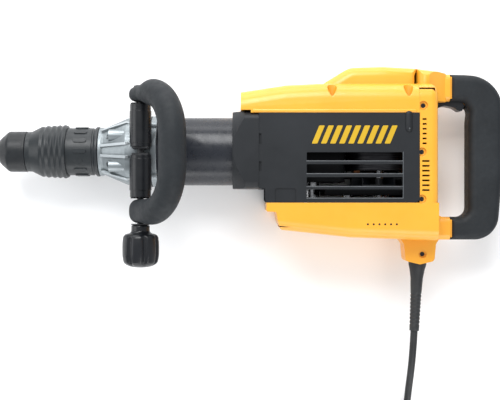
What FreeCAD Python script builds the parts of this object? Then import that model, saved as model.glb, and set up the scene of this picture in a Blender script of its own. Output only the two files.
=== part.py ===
import FreeCAD
import Part
import math
import os

# Demolition hammer, 10 kg class, lying on its side.
# Tool coordinates, in millimetres: x runs back from the tip of the nose, y runs from the barrel's axis
# towards the trigger's side, z runs from the barrel's axis up, away from the floor. A pair is a start and
# an end.
# export() moves every piece to the row frame, whose origin is on the floor under the middle of the hammer.

# ---- driving dimensions ------------------------------------------------------------------------------------
LENGTH = 620.0                # nose tip to the back of the rear grip
CROWN_Y = 101.4               # top of the motor hump
GUARD_END_Y = -222.0          # free end of the cord's strain relief
HALF_WIDTH = 56.0             # barrel axis to either flat side of the housing
WALL = 3.5                    # housing walls
FIT = 0.05                    # running fit, radial
GAP = 0.3                     # clearance between pieces that move past each other

# Tool holder
SHANK_R = 9.1                 # bore for an 18 mm tool shank
LIP_R = 9.8                   # cap's mouth and the relief groove in the socket
TUBE_R = 19.0                 # tool holder tube, front
TUBE_REAR_R = 24.0            # tool holder tube, inside the nose casting
BEAT_R = 15.0                 # bore for the beat piece
CAP_BACK = 34.7
COLLAR_X = (72.0, 124.4)
COLLAR_PADS = 14
SLEEVE_TRAVEL = 8.0           # unlocking travel of the locking sleeve
POCKET_R = 25.2               # sleeve's inside, round the spring
SKIRT_R = 29.5                # sleeve's inside, round the index collar
ROLLER_R = 3.5
ROLLER_X = (52.0, 66.0)

# Nose and barrel
BARREL_R = 41.7               # barrel tube, outside
SEAT_R = 41.4                 # band seat on the nose casting
FLANGE_X = (190.4, 197.2)
BUSH_R = 28.0                 # front bush, outside
CAP_ANGLES = (-33, 33, 147, 213)
CAP_SCREW_R = 35.0            # barrel axis to a screw in the cone
EAR_ANGLES = (-45, 45, 135, 225)
EAR_SCREW_R = 39.2            # barrel axis to a screw in the flange
CYLINDER_R = 26.0
PISTON_R = 22.0
RING_SEAT_R = 20.0            # bottom of the seal rings' grooves

# Crank and gears
CRANK_X = 386.0
CRANK_THROW = 20.0
ROD_LENGTH = 75.0
CRANK_PIN_X = CRANK_X - CRANK_THROW
WRIST_X = CRANK_PIN_X - ROD_LENGTH
WRIST_PIN_R = 5.0
CRANK_PIN_R = 6.0
ROD_HALF = 6.0                # half of the rod's thickness
PISTON_FRONT = WRIST_X - 18
MODULE = 1.5
CRANK_TEETH = 48
COUNTER_TEETH = 42            # large gear of the countershaft
COUNTER_PINION_TEETH = 12
MOTOR_PINION_TEETH = 10
COUNTER_X = CRANK_X + MODULE * (CRANK_TEETH + COUNTER_PINION_TEETH) / 2
MOTOR_X = COUNTER_X + MODULE * (COUNTER_TEETH + MOTOR_PINION_TEETH) / 2
GEAR_LOW = (-80.0, -68.0)
GEAR_HIGH = (-66.0, -57.0)
LOW_SEAT = (-91.0, -82.0)     # bearings in the gear cover
PLATE_SEAT = (-54.0, -45.0)   # bearings in the bearing plate
COUNTER_R = 6.0               # countershaft
CASE_X = (336.0, 424.0)
CASE_Y = (-38.0, 40.0)

# Motor
SHAFT_R = 6.0
SHAFT_END_R = 5.0
STATOR_Y = (-24.0, 40.0)
ARMATURE_Y = (-20.0, 38.0)
ARMATURE_R = 24.0
ARMATURE_SLOTS = 12
COMMUTATOR_Y = (54.0, 72.0)
COMMUTATOR_R = 14.0
COMMUTATOR_BARS = 24
FAN_Y = (-43.0, -33.0)
FAN_R = 37.0
FAN_BLADES = 11
END_BEARING_Y = (76.0, 85.0)
BEARING_R = 13.0              # bearings of the countershaft and of the motor's lower end
END_BEARING_R = 11.0
BRUSH_Y = (57.9, 64.1)
BRUSH_HALF = 3.1
COIL_OFFSET = 29.0            # motor axis to the middle of a field coil

# Housings
COVER_FRONT = 289.0           # squared collar behind the barrel
COVER_HALF_Y = 46.0
PANEL_X = (320.7, 511.0)
PANEL_Y = (-62.8, 43.7)
PANEL_STEP = (327.8, -46.4)   # the panel's lower front corner is set back to here
SLOT_X = (377.3, 490.8)
SLOT_ROWS = ((-13.0, -3.1), (-28.1, -17.2), (-43.3, -32.6), (-57.1, -47.1))
RECESS_X = (339.6, 364.5)
RECESS_TOP = -46.0
SEAM_X = 511.2                # rear shells meet the panel and the top cover
REAR_X = 534.0                # back of the rear shells' strip
STRIP_TOP = 80.0
HUMP_HALF = 39.0
TOP_LINE = ((299.0, 69.6), (353.0, 77.9), (396.0, 80.0), (500.0, 80.0))
BELLY_LINE = ((346.5, -95.5), (430.0, -104.6), (538.0, -108.4))
COVER_SCREWS_X = (407.6, 498.5)
COVER_SCREW_Z = 48.5
WELL_FLOOR = 53.0             # z under the heads of the side screws
SIDE_SCREWS = ((515.5, 52.1), (513.6, -2.9), (513.6, -58.7))
NECK_SCREW = (521.0, -126.0, 14.5)
SLIT_HALF = 1.05

# Rear handle
ARM_HALF = 20.0
ARM_END = 554.4               # the rubber starts behind this
GRIP_HALF = 19.0
GRIP_WALL = 3.0
LOW_ARM_Y = (-108.4, -80.7)
TRIGGER_PIVOT = (542.0, 67.0)

# Side handle
PIVOT_X = 180.5               # side handle bolt
PIVOT_Z = 57.0
BAND_X = (171.0, 189.8)
BAND_WALL = 2.2
EAR_GAP_Y = (-4.4, 0.9)       # between the band's ears
EAR_WALL = 2.5
JAW_UPPER = (3.4, 53.3)
JAW_LOWER = (-56.3, -6.9)
BOSS_UPPER = (55.4, 75.0)
BOSS_LOWER = (-87.7, -58.4)
LOOP_LEAN = 33.5              # degrees, towards the rear
LOOP_OUT = 77.0               # bolt to the far side of the loop
LOOP_ARM_Y = (65.2, -73.0)
LOOP_BEND_R = 52.0
LOOP_CORE_R = 12.4
GRIP_R = 15.8
GRIP_START = 15.0             # bolt to the rubber's ends
BOLT_R = 4.0
KNOB_TOP = -89.4
KNOB_NECK_R = 11.0
KNOB_R = 22.1
KNOB_LOBES = 7
INSERT_R = 7.0

# Cord, strain relief, coil and plug. The coil is placed in the row frame.
CORD_R = 4.5
GUARD_TOP = (517.5, -138.3)   # where the strain relief leaves the neck
GUARD_TILT = 2.8              # degrees, towards the nose
COIL_CENTRE = (134.5, -352.0)
COIL_TURN_R = 49.5
COIL_HALF_BAND = 21.5
COIL_HEIGHT = 38.0
PLUG_HALF_HEIGHT = 12.0
ROW_Y = -(CROWN_Y + GUARD_END_Y) / 2

V = FreeCAD.Vector
X_DIR = V(1, 0, 0)
Y_DIR = V(0, 1, 0)
Z_DIR = V(0, 0, 1)
TO_ROW = V(-LENGTH / 2, ROW_Y, HALF_WIDTH)


# ---- shape helpers -----------------------------------------------------------------------------------------
def rod_x(radius, x0, x1, y=0.0, z=0.0):
    return Part.makeCylinder(radius, x1 - x0, V(x0, y, z), X_DIR)


def rod_y(radius, y0, y1, x=0.0, z=0.0):
    return Part.makeCylinder(radius, y1 - y0, V(x, y0, z), Y_DIR)


def rod_z(radius, z0, z1, x=0.0, y=0.0):
    return Part.makeCylinder(radius, z1 - z0, V(x, y, z0), Z_DIR)


def block(x0, x1, y0, y1, z0, z1):
    return Part.makeBox(x1 - x0, y1 - y0, z1 - z0, V(x0, y0, z0))


def ring_x(outer, inner, x0, x1):
    return rod_x(outer, x0, x1).cut(rod_x(inner, x0 - 1, x1 + 1))


def ring_y(outer, inner, y0, y1, x=0.0, z=0.0):
    return rod_y(outer, y0, y1, x, z).cut(rod_y(inner, y0 - 1, y1 + 1, x, z))


def fused(*shapes):
    return shapes[0].multiFuse(list(shapes[1:])).removeSplitter()


def around_x(shape, angles):
    """Copies of a shape, turned about the barrel axis."""
    copies = []
    for angle in angles:
        copy = shape.copy()
        copy.rotate(V(0, 0, 0), X_DIR, angle)
        copies.append(copy)
    return copies


def rounded_wire(corners):
    """Closed outline in the XY plane. A corner is (x, y) or (x, y, radius)."""
    points = [V(c[0], c[1], 0) for c in corners]
    radii = [c[2] if len(c) > 2 else 0.0 for c in corners]
    edges = []
    ends = []
    for i, point in enumerate(points):
        back = (points[i - 1] - point).normalize()
        ahead = (points[(i + 1) % len(points)] - point).normalize()
        if not radii[i]:
            ends.append((point, point, None))
            continue
        half = back.getAngle(ahead) / 2
        reach = radii[i] / math.tan(half)
        middle = (back + ahead).normalize() * (radii[i] / math.sin(half) - radii[i])
        ends.append((point + back * reach, point + ahead * reach, point + middle))
    for i, (start, end, middle) in enumerate(ends):
        if middle is not None:
            edges.append(Part.Arc(start, middle, end).toShape())
        following = ends[(i + 1) % len(ends)][0]
        if end.distanceToPoint(following) > 1e-4:
            edges.append(Part.LineSegment(end, following).toShape())
    return Part.Wire(edges)


def slab(corners, z0, z1):
    """An XY outline, extruded along z."""
    face = Part.Face(rounded_wire(corners))
    face.translate(V(0, 0, z0))
    return face.extrude(V(0, 0, z1 - z0))


def turned_x(corners):
    """An outline of (x, radius) corners, turned about the barrel axis."""
    return Part.Face(rounded_wire(corners)).revolve(V(0, 0, 0), X_DIR, 360)


def turned_y(corners, x, z):
    """An outline of (radius, y) corners, turned about a line along y."""
    body = Part.Face(rounded_wire(corners)).revolve(V(0, 0, 0), Y_DIR, 360)
    body.translate(V(x, 0, z))
    return body


def level_edges(shape):
    """Edges that keep one z along their whole run."""
    return [e for e in shape.Edges if e.BoundBox.ZLength < 0.1]


def rim_edges(shape, level):
    """Edges that lie wholly at z = level."""
    return [e for e in level_edges(shape) if abs(e.BoundBox.ZMin - level) < 0.01]


def gear(teeth, y0, y1, x, phase, bore, backlash=0.3):
    """Spur gear with involute flanks, on a line along y. One tooth is centred at phase degrees from +x."""
    pitch = MODULE * teeth / 2
    base = pitch * math.cos(math.radians(20))
    tip = pitch + 0.65 * MODULE
    root = pitch - 0.9 * MODULE

    def spread(radius):
        involute = lambda a: math.tan(a) - a
        slope = math.acos(min(1.0, base / radius))
        half = math.pi / (2 * teeth) - backlash / (4 * pitch)
        return half + involute(math.radians(20)) - involute(slope)

    flank = [root] + [max(base, root) + (tip - max(base, root)) * t for t in (0.02, 0.35, 0.7, 1.0)]
    points = []
    for k in range(teeth):
        middle = math.radians(phase) + 2 * math.pi * k / teeth
        for side, radii in ((-1, flank), (1, flank[::-1])):
            for r in radii:
                turn = middle + side * spread(max(r, base))
                points.append(V(r * math.cos(turn), 0, -r * math.sin(turn)))
    face = Part.Face(Part.makePolygon(points + points[:1]))
    body = face.extrude(V(0, y1 - y0, 0))
    body.translate(V(x, y0, 0))
    return body.cut(rod_y(bore, y0 - 1, y1 + 1, x))


def hexagon(corner_r, height):
    """Hexagonal prism that stands on the XY plane."""
    turns = [math.pi * k / 3 for k in range(6)]
    return slab([(corner_r * math.cos(a), corner_r * math.sin(a)) for a in turns], 0, height)


def turned_copies(shape, x, count):
    """Copies of a shape, evenly turned about a line along y."""
    copies = []
    for k in range(count):
        copy = shape.copy()
        copy.rotate(V(x, 0, 0), Y_DIR, 360.0 / count * k)
        copies.append(copy)
    return copies


def cap_screw_x(head_r, shank_r, x_head, head_len, shank_len):
    """Socket-head cap screw on the barrel axis, its head towards the nose."""
    head_end = x_head + head_len
    head = rod_x(head_r, x_head, head_end)
    socket = hexagon(0.55 * head_r, 0.6 * head_len)
    socket.rotate(V(0, 0, 0), Y_DIR, 90)
    socket.translate(V(x_head - 0.01, 0, 0))
    return fused(head.cut(socket), rod_x(shank_r, head_end, head_end + shank_len))


def pan_screw(head_r, shank_r, head_len, shank_len):
    """Pan-head screw along z, head up, the top of the head at the origin."""
    head = rod_z(head_r, -head_len, 0)
    head = head.makeFillet(0.5 * head_len, rim_edges(head, 0))
    bar = block(-0.6 * head_r, 0.6 * head_r, -0.5, 0.5, -0.6 * head_len, 1)
    cross = bar.copy()
    cross.rotate(V(0, 0, 0), Z_DIR, 90)
    shank = rod_z(shank_r, -head_len - shank_len, -head_len)
    return head.cut(bar).cut(cross).fuse(shank).removeSplitter()


# ---- tool holder -------------------------------------------------------------------------------------------
def dust_cap():
    outer = [(0, 10.4), (0, 13.2, 0.8), (4.5, 18.0, 4), (12.9, 25, 6), (CAP_BACK, 25, 0.6)]
    return turned_x(outer + [(CAP_BACK, TUBE_R), (6, TUBE_R), (6, LIP_R), (1.5, LIP_R)])


def locking_sleeve():
    """Front ring, flare and four finger rings; its skirt reaches over the index collar."""
    outer = [(35.0, 24.4, 0.5), (41, 24.8, 2), (54, 31.3, 3)]
    for crest, radius in ((60.7, 32.2), (68.3, 32.6), (75.0, 32.9), (81.6, 33.2)):
        outer += [(crest - 3.4, radius - 1.9, 0.8), (crest, radius, 1.6)]
    outer += [(85.4, 31.6, 0.8)]
    step = COLLAR_X[0] - SLEEVE_TRAVEL - 0.5
    inner = [(85.4, SKIRT_R), (step, SKIRT_R), (step, POCKET_R), (52, POCKET_R), (52, TUBE_R + FIT),
             (35.0, TUBE_R + FIT)]
    return turned_x(outer + inner)


def index_collar():
    """Grip ring with obround pads; one place holds a small round mark instead."""
    front, back = COLLAR_X
    body_r = 29.2
    body = turned_x([(front, TUBE_R), (front, body_r, 0.5), (117, body_r), (117.6, 28.4), (119.2, 28.4),
                     (120, body_r), (121.3, 30.7, 0.6), (back, 30.7, 0.8), (back, TUBE_R)])
    pad_x = (97.7, 108.2)
    pad_half = 2.8
    pad_z = (27, 30.4)
    pad = fused(block(*pad_x, -pad_half, pad_half, *pad_z), rod_z(pad_half, *pad_z, pad_x[0]),
                rod_z(pad_half, *pad_z, pad_x[1]))
    pitch = 360.0 / COLLAR_PADS
    pads = around_x(pad, [pitch * k for k in range(COLLAR_PADS) if k != 1])
    mark = around_x(rod_z(3.4, 27, 29.9, 103, 0), [pitch])
    return fused(body, *(pads + mark))


def tool_holder_tube():
    """Stepped tube: socket with three keys in front, beat piece's bore behind, and the rollers' two slots."""
    front, back = 6, 179
    beat_front = 99
    outer = [(front, TUBE_R, 1), (125, TUBE_R), (129, TUBE_REAR_R, 0.5), (back, TUBE_REAR_R)]
    inner = [(back, BEAT_R + FIT), (beat_front, BEAT_R + FIT), (beat_front, SHANK_R), (40, SHANK_R),
             (40, LIP_R), (34, LIP_R), (34, SHANK_R), (front, SHANK_R)]
    key = block(42, 94, -1.9, 1.9, 7.2, SHANK_R + 1.5)
    tube = fused(turned_x(outer + inner), *around_x(key, [60, 180, 300]))
    slot_half = ROLLER_R + 0.1
    slot = block(ROLLER_X[0] - 2, ROLLER_X[1] + 3, -slot_half, slot_half, 5, TUBE_R + 1)
    return tube.cut(fused(*around_x(slot, [-90, 90])))


def lock_roller(side):
    """Locking roller in its slot in the tube: side is 1 towards +y, -1 towards -y."""
    centre = 11.2
    return rod_x(ROLLER_R, *ROLLER_X, side * centre, 0)


def sleeve_spring():
    """Compression spring between the sleeve and the index collar, with four turns."""
    wire_r = 0.9
    coil_r = 22.3
    start = 53.5
    end = 70.6
    helix = Part.makeHelix((end - start) / 4.0, end - start, coil_r)
    circle = Part.Wire(Part.makeCircle(wire_r, V(coil_r, 0, 0), Y_DIR))
    coil = Part.Wire(helix.Edges).makePipeShell([circle], True, True)
    coil.rotate(V(0, 0, 0), Y_DIR, 90)
    coil.translate(V(start, 0, 0))
    return coil


def beat_piece():
    front, back = 101, 174
    end_r = 10.5
    return turned_x([(front, 0), (front, end_r, 1.5), (113, end_r), (116, BEAT_R, 1), (152, BEAT_R, 1),
                     (156, end_r), (back, end_r, 1.5), (back, 0)])


# ---- nose and barrel ---------------------------------------------------------------------------------------
def nose_screws():
    """Four cap screws in the cone and four in the flange's ears."""
    front = cap_screw_x(4.6, 2.9, 149.5, 5, 36)
    front.translate(V(0, 0, CAP_SCREW_R))
    rear = cap_screw_x(4.2, 2.4, FLANGE_X[0] + 0.2, 4.6, 15)
    rear.translate(V(0, 0, EAR_SCREW_R))
    return Part.makeCompound(around_x(front, CAP_ANGLES) + around_x(rear, EAR_ANGLES))


def nose_rib():
    """Cooling rib on the cone, at the top of the barrel's axis."""
    width = 3.4
    corners = [V(128.5, 27, 0), V(128.5, 31.4, 0), V(160, 43.0, 0), V(164, SEAT_R + 0.2, 0), V(164, 35, 0)]
    rib = Part.Face(Part.makePolygon(corners + corners[:1])).extrude(V(0, 0, width))
    rib.translate(V(0, 0, -width / 2))
    return rib


def nose_casting(screws):
    """Ribbed cone, band seat and rear flange, with pockets for its cap screws."""
    flange_front, back = FLANGE_X
    front = 124.8
    body = turned_x([(front, 25.0), (front, 29.8, 0.6), (128.3, 29.8, 0.5), (130.6, 28.8, 0.6),
                     (159.5, SEAT_R, 1.2), (flange_front, SEAT_R), (flange_front, 44.0, 0.7),
                     (back, 44.0, 0.7), (back, 27.4), (182.5, 27.4), (182.5, BUSH_R), (129.5, BUSH_R),
                     (129.5, 25.0)])
    ribs = around_x(nose_rib(), [turn + a for turn in (90, 270) for a in (-55, -11, 11, 55)])
    ear = rod_x(7.2, flange_front, back, 0, EAR_SCREW_R)
    pad = rod_x(7.4, 139, 158, 0, CAP_SCREW_R - 1.5)
    body = fused(body, *(ribs + around_x(ear, EAR_ANGLES) + around_x(pad, CAP_ANGLES)))
    pocket = rod_x(5.4, 136, 149.5, 0, CAP_SCREW_R)
    mouth = rod_x(4.8, 149, 154.5, 0, CAP_SCREW_R)
    ear_mouth = rod_x(4.5, 190, 195.2, 0, EAR_SCREW_R)
    for hollow, angles in ((pocket, CAP_ANGLES), (mouth, CAP_ANGLES), (ear_mouth, EAR_ANGLES)):
        body = body.cut(fused(*around_x(hollow, angles)))
    return body.cut(rod_x(25.0, 120, 130)).cut(rod_x(BUSH_R, 129.5, 182.5)).cut(screws)


def front_bush():
    return ring_x(BUSH_R, TUBE_REAR_R + FIT, 131, 178)


def barrel_tube(screws):
    front, back = FLANGE_X[1], 300
    inner_r = 33
    tube = turned_x([(front, CYLINDER_R), (front, BARREL_R, 0.5), (back, BARREL_R), (back, inner_r),
                     (212, inner_r), (212, CYLINDER_R)])
    return tube.cut(screws)


def cylinder():
    return ring_x(CYLINDER_R, PISTON_R, 184, 345)


def plunger(front, groove, back):
    """Disc with one seal groove, 3 mm long."""
    radius = PISTON_R - FIT
    return turned_x([(front, 0), (front, radius, 1), (groove, radius), (groove, RING_SEAT_R),
                     (groove + 3, RING_SEAT_R), (groove + 3, radius), (back, radius, 1), (back, 0)])


def ram():
    return plunger(205, 211, 250)


def piston():
    """Hollowed behind for the connecting rod."""
    body = plunger(PISTON_FRONT, PISTON_FRONT + 5, PISTON_FRONT + 37)
    slot = block(WRIST_X - 8.5, PISTON_FRONT + 40, -6.3, 6.3, -23, 23)
    return body.cut(slot).cut(rod_y(WRIST_PIN_R, -25, 25, WRIST_X))


def seal_ring(x0):
    return ring_x(PISTON_R - 0.02, RING_SEAT_R, x0, x0 + 3)


def wrist_pin():
    return rod_y(WRIST_PIN_R, -20, 20, WRIST_X)


def connecting_rod():
    small = rod_y(8, -ROD_HALF, ROD_HALF, WRIST_X)
    big = rod_y(12, -ROD_HALF, ROD_HALF, CRANK_PIN_X)
    shank = block(WRIST_X, CRANK_PIN_X, -4.0, 4.0, -6.0, 6.0)
    rod = fused(small, big, shank)
    return rod.cut(rod_y(WRIST_PIN_R + FIT, -7, 7, WRIST_X)).cut(rod_y(CRANK_PIN_R, -7, 7, CRANK_PIN_X))


def crank_pin():
    return rod_y(CRANK_PIN_R, -ROD_HALF, ROD_HALF, CRANK_PIN_X)


# ---- crank and gears ---------------------------------------------------------------------------------------
def crankshaft():
    """Disc with a hole for the crank pin, a balance cut and a stepped shaft."""
    disc = rod_y(30, -18, -ROD_HALF - GAP, CRANK_X)
    for z0, z1 in ((-31, -14), (14, 31)):
        disc = disc.cut(block(CRANK_X - 31, CRANK_X - 6, -12, -5, z0, z1))
    disc = disc.cut(rod_y(6.2, -14, -5, CRANK_PIN_X))
    return fused(disc, rod_y(10, -67, -18, CRANK_X), rod_y(8, -91, -66, CRANK_X))


def crank_gear():
    return gear(CRANK_TEETH, *GEAR_LOW, CRANK_X, 0, 8).cut(rod_y(10, -69, -66, CRANK_X))


def countershaft():
    """Shaft with its pinion cut in one piece."""
    shaft = fused(rod_y(COUNTER_R, LOW_SEAT[0], PLATE_SEAT[1], COUNTER_X), rod_y(6.6, -82, -80, COUNTER_X))
    pinion = gear(COUNTER_PINION_TEETH, *GEAR_LOW, COUNTER_X, 180 + 180 / COUNTER_PINION_TEETH, 3)
    return fused(shaft, pinion)


def countershaft_gear():
    return gear(COUNTER_TEETH, *GEAR_HIGH, COUNTER_X, 0, COUNTER_R)


def gear_bearings():
    """Ball bearings of the crankshaft and the countershaft, each drawn as one ring."""
    rings = [ring_y(21, 10 + FIT, -34, -20, CRANK_X), ring_y(15, 8 + FIT, *LOW_SEAT, CRANK_X),
             ring_y(BEARING_R, COUNTER_R + FIT, *LOW_SEAT, COUNTER_X),
             ring_y(BEARING_R, COUNTER_R + FIT, *PLATE_SEAT, COUNTER_X)]
    return Part.makeCompound(rings)


def crankcase():
    """Casting that holds the cylinder and the crank, with a round neck inside the barrel cover."""
    box = block(*CASE_X, *CASE_Y, -BARREL_R, BARREL_R)
    edges = [e for e in box.Edges if e.BoundBox.YLength > 70]
    box = box.makeFillet(8, edges)
    neck = rod_x(BARREL_R, 300, CASE_X[0] + 1)
    body = fused(box, neck)
    body = body.cut(block(347, 419.5, -19, 41, -37.5, 37.5))
    body = body.cut(rod_x(CYLINDER_R, 299, 348)).cut(rod_x(PISTON_R + 1.5, 345, 354))
    body = body.cut(rod_y(21, -34.0, -18, CRANK_X)).cut(rod_y(12, -39, -30, CRANK_X))
    return body


def bearing_plate():
    plate = block(400, 506, *PLATE_SEAT, -44, 44)
    for x in (COUNTER_X, MOTOR_X):
        plate = plate.cut(rod_y(BEARING_R, -60, -40, x))
    return plate


def gear_cover():
    cover = block(360, 452, *LOW_SEAT, -38, 38)
    edges = [e for e in cover.Edges if e.BoundBox.YLength > 8]
    cover = cover.makeFillet(10, edges)
    return cover.cut(rod_y(15, -95, -80, CRANK_X)).cut(rod_y(BEARING_R, -95, -80, COUNTER_X))


# ---- motor -------------------------------------------------------------------------------------------------
def stator_core():
    """Laminated ring with two slots for the field coils."""
    body = ring_y(41, 25, *STATOR_Y, MOTOR_X)
    slot = block(MOTOR_X + 20, MOTOR_X + 34, STATOR_Y[0] - 2, STATOR_Y[1] + 2, -13, 13)
    return body.cut(fused(*turned_copies(slot, MOTOR_X, 2)))


def field_coils():
    """Two flat coils, in the slots of the stator and round its ends."""
    coils = []
    for side in (-1, 1):
        middle = MOTOR_X + side * COIL_OFFSET
        coil = block(middle - 3.5, middle + 3.5, STATOR_Y[0] - 6, STATOR_Y[1] + 6, -12.5, 12.5)
        coils.append(coil.cut(block(middle - 4, middle + 4, STATOR_Y[0] + 2, STATOR_Y[1] - 2, -6, 6)))
    return Part.makeCompound(coils)


def armature_shaft():
    """Shaft with its pinion cut in one piece."""
    shaft = fused(rod_y(SHAFT_R, -55, 74, MOTOR_X), rod_y(SHAFT_END_R, 73, END_BEARING_Y[1], MOTOR_X),
                  rod_y(SHAFT_END_R, -56, -54, MOTOR_X))
    pinion = gear(MOTOR_PINION_TEETH, -67, -55.5, MOTOR_X, 180 + 180 / MOTOR_PINION_TEETH, 1.5)
    return fused(shaft, pinion)


def armature_core():
    core = ring_y(ARMATURE_R, SHAFT_R, *ARMATURE_Y, MOTOR_X)
    slot = block(MOTOR_X + 17, MOTOR_X + 25, ARMATURE_Y[0] - 1, ARMATURE_Y[1] + 1, -1.2, 1.2)
    for copy in turned_copies(slot, MOTOR_X, ARMATURE_SLOTS):
        core = core.cut(copy)
    return core


def commutator():
    body = ring_y(COMMUTATOR_R, SHAFT_R, *COMMUTATOR_Y, MOTOR_X)
    slit = block(MOTOR_X + 12.6, MOTOR_X + 15, COMMUTATOR_Y[0] - 1, COMMUTATOR_Y[1] + 1, -0.3, 0.3)
    slit.rotate(V(MOTOR_X, 0, 0), Y_DIR, 180.0 / COMMUTATOR_BARS)
    for copy in turned_copies(slit, MOTOR_X, COMMUTATOR_BARS):
        body = body.cut(copy)
    return body


def cooling_fan():
    low, high = FAN_Y
    hub = ring_y(10, SHAFT_R, low, high, MOTOR_X)
    disc = ring_y(FAN_R, 9, low, low + 1.5, MOTOR_X)
    blade = block(MOTOR_X + 9, MOTOR_X + FAN_R - 1, low + 1, high, -0.8, 0.8)
    return fused(hub, disc, *turned_copies(blade, MOTOR_X, FAN_BLADES))


def armature_bearings():
    lower = ring_y(BEARING_R, SHAFT_R + FIT, *PLATE_SEAT, MOTOR_X)
    upper = ring_y(END_BEARING_R, SHAFT_END_R + FIT, *END_BEARING_Y, MOTOR_X)
    return Part.makeCompound([lower, upper])


def brush_bracket():
    """End bracket over the stator: plate, bearing hub, two posts and two brush tubes."""
    plate_y = (46.5, 50)
    hub_top = END_BEARING_Y[1] + 2.5
    plate = ring_y(40, 16, *plate_y, MOTOR_X)
    plate = plate.common(block(MOTOR_X - 38, MOTOR_X + 38, 45, 52, -33, 33))
    hub = rod_y(16, END_BEARING_Y[0], hub_top, MOTOR_X)
    posts = []
    for side in (-1, 1):
        middle = MOTOR_X + side * 18.5
        posts.append(block(middle - 3.5, middle + 3.5, plate_y[1] - 1, hub_top, -8, 8))
    for z0, z1 in ((16.5, 33), (-33, -16.5)):
        posts.append(block(MOTOR_X - 5, MOTOR_X + 5, plate_y[1] - 1, 68, z0, z1))
    bracket = fused(plate, hub, *posts)
    bracket = bracket.cut(block(MOTOR_X - BRUSH_HALF, MOTOR_X + BRUSH_HALF, *BRUSH_Y, -40, 40))
    return bracket.cut(rod_y(END_BEARING_R, 70, END_BEARING_Y[1], MOTOR_X))


def carbon_brushes():
    reach = (COMMUTATOR_R + 0.2, 28)
    return Part.makeCompound([block(MOTOR_X - BRUSH_HALF, MOTOR_X + BRUSH_HALF, *BRUSH_Y, z0, z1)
                              for z0, z1 in (reach, (-reach[1], -reach[0]))])


# ---- dark housings -----------------------------------------------------------------------------------------
def collar_cover():
    """Squared collar behind the barrel; a wide cone takes off its front corners."""
    front = COVER_FRONT
    half_y = COVER_HALF_Y
    body = block(front, PANEL_X[0] - 0.1, -half_y, half_y, -HALF_WIDTH, HALF_WIDTH)
    body = body.makeFillet(10, [e for e in body.Edges if e.BoundBox.XLength > 30])
    front_r = 55.4
    length = 32.0
    back_r = front_r + 0.84 * length
    cone = Part.makeCone(front_r, back_r, length, V(front, 0, 0), X_DIR)
    inner_cone = Part.makeCone(front_r - WALL, back_r - WALL, length, V(front + 2, 0, 0), X_DIR)
    inside = block(front + WALL, 322, WALL - half_y, half_y - WALL, WALL - HALF_WIDTH, HALF_WIDTH - WALL)
    body = body.common(cone).cut(rod_x(BARREL_R, front - 1, 322))
    return body.cut(inside.common(inner_cone))


def cover_screw_bosses():
    """Posts inside the panel that the top cover's screws enter."""
    bosses = []
    for x in COVER_SCREWS_X:
        for side in (-1, 1):
            boss = rod_y(6.5, 18, PANEL_Y[1], x, side * COVER_SCREW_Z)
            bosses.append(boss.common(block(x - 9, x + 9, 0, 60, -HALF_WIDTH, HALF_WIDTH)))
    return bosses


def panel_cuts():
    """Air slots through both sides, and on each side the shallow recess and two locating marks."""
    half = HALF_WIDTH
    cuts = []
    front, back = SLOT_X
    round_r = 1.2
    for low, high in SLOT_ROWS:
        corners = [(front, low, round_r), (back, low, round_r), (back, high, round_r), (front, high, round_r)]
        cuts.append(slab(corners, -half - 1, half + 1))
    left, right = RECESS_X
    base = PANEL_Y[0] - 0.1
    recess = [(left, base), (right, base), (right, RECESS_TOP, 3), (left, RECESS_TOP, 3)]
    for z0, z1 in ((half - 1.2, half + 1), (-half - 1, 1.2 - half)):
        cuts.append(slab(recess, z0, z1))
    for low, high in ((6.4, 19.1), (-25.3, -13.9)):
        for z0, z1 in ((half - 2.2, half + 1), (-half - 1, 2.2 - half)):
            cuts.append(block(PANEL_X[0] - 1.2, PANEL_X[0] + 2.7, low, high, z0, z1))
    return cuts


def motor_housing(screws):
    """Dark housing round the motor: two side panels joined in front, open behind and above."""
    half = HALF_WIDTH
    left, right = PANEL_X
    base, top = PANEL_Y
    outline = [(left, top), (right, top), (right, base, 6), (PANEL_STEP[0], base, 4), PANEL_STEP,
               (left, PANEL_STEP[1])]
    body = slab(outline, -half, half).cut(block(324.5, 520, -70, 50, WALL - half, half - WALL))
    body = body.cut(rod_x(BARREL_R + 0.2, 318, 330))
    body = fused(body, *cover_screw_bosses())
    for cut in panel_cuts():
        body = body.cut(cut)
    return body.cut(Part.makeCompound(screws))


# ---- yellow housings ---------------------------------------------------------------------------------------
def shoulder_edges(body, top):
    """Long edges of a hump's roof."""
    return [e for e in level_edges(body) if e.BoundBox.YMax > top]


def long_block(ends, half, radius, far_y):
    """Long block from the level far_y to a face that runs through two points and has rounded long edges."""
    (x_a, y_a), (x_b, y_b) = ends
    start = 290.0
    reach = 270.0
    slope = (y_b - y_a) / (x_b - x_a)
    level = y_a + slope * (start - x_a)
    outline = [(-half, level, radius), (half, level, radius), (half, far_y), (-half, far_y)]
    face = Part.Face(rounded_wire(outline))
    face.rotate(V(0, 0, 0), Y_DIR, -90)
    face.translate(V(start, 0, 0))
    return face.extrude(V(reach, reach * slope, 0))


def cover_back(inset):
    """The cover ends at the rear shells; its hollow runs out through that end."""
    return SEAM_X + (3 if inset else 0)


def cover_base(inset):
    """Lower, wide part of the top cover."""
    half = HALF_WIDTH - inset
    front = TOP_LINE[0][0] + inset
    back = cover_back(inset)
    base = PANEL_Y[1] + 0.2
    lip = (311, 47.2)
    body = slab([(front, lip[1]), (front, 71 - inset, 5), (lip[0], 90), (back, 90), (back, base),
                 (lip[0], base), lip], -half, half)
    for start, end in zip(TOP_LINE, TOP_LINE[1:]):
        ends = ((start[0], start[1] - inset), (end[0], end[1] - inset))
        body = body.common(long_block(ends, half, 20 - inset, -60))
    return body


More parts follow.
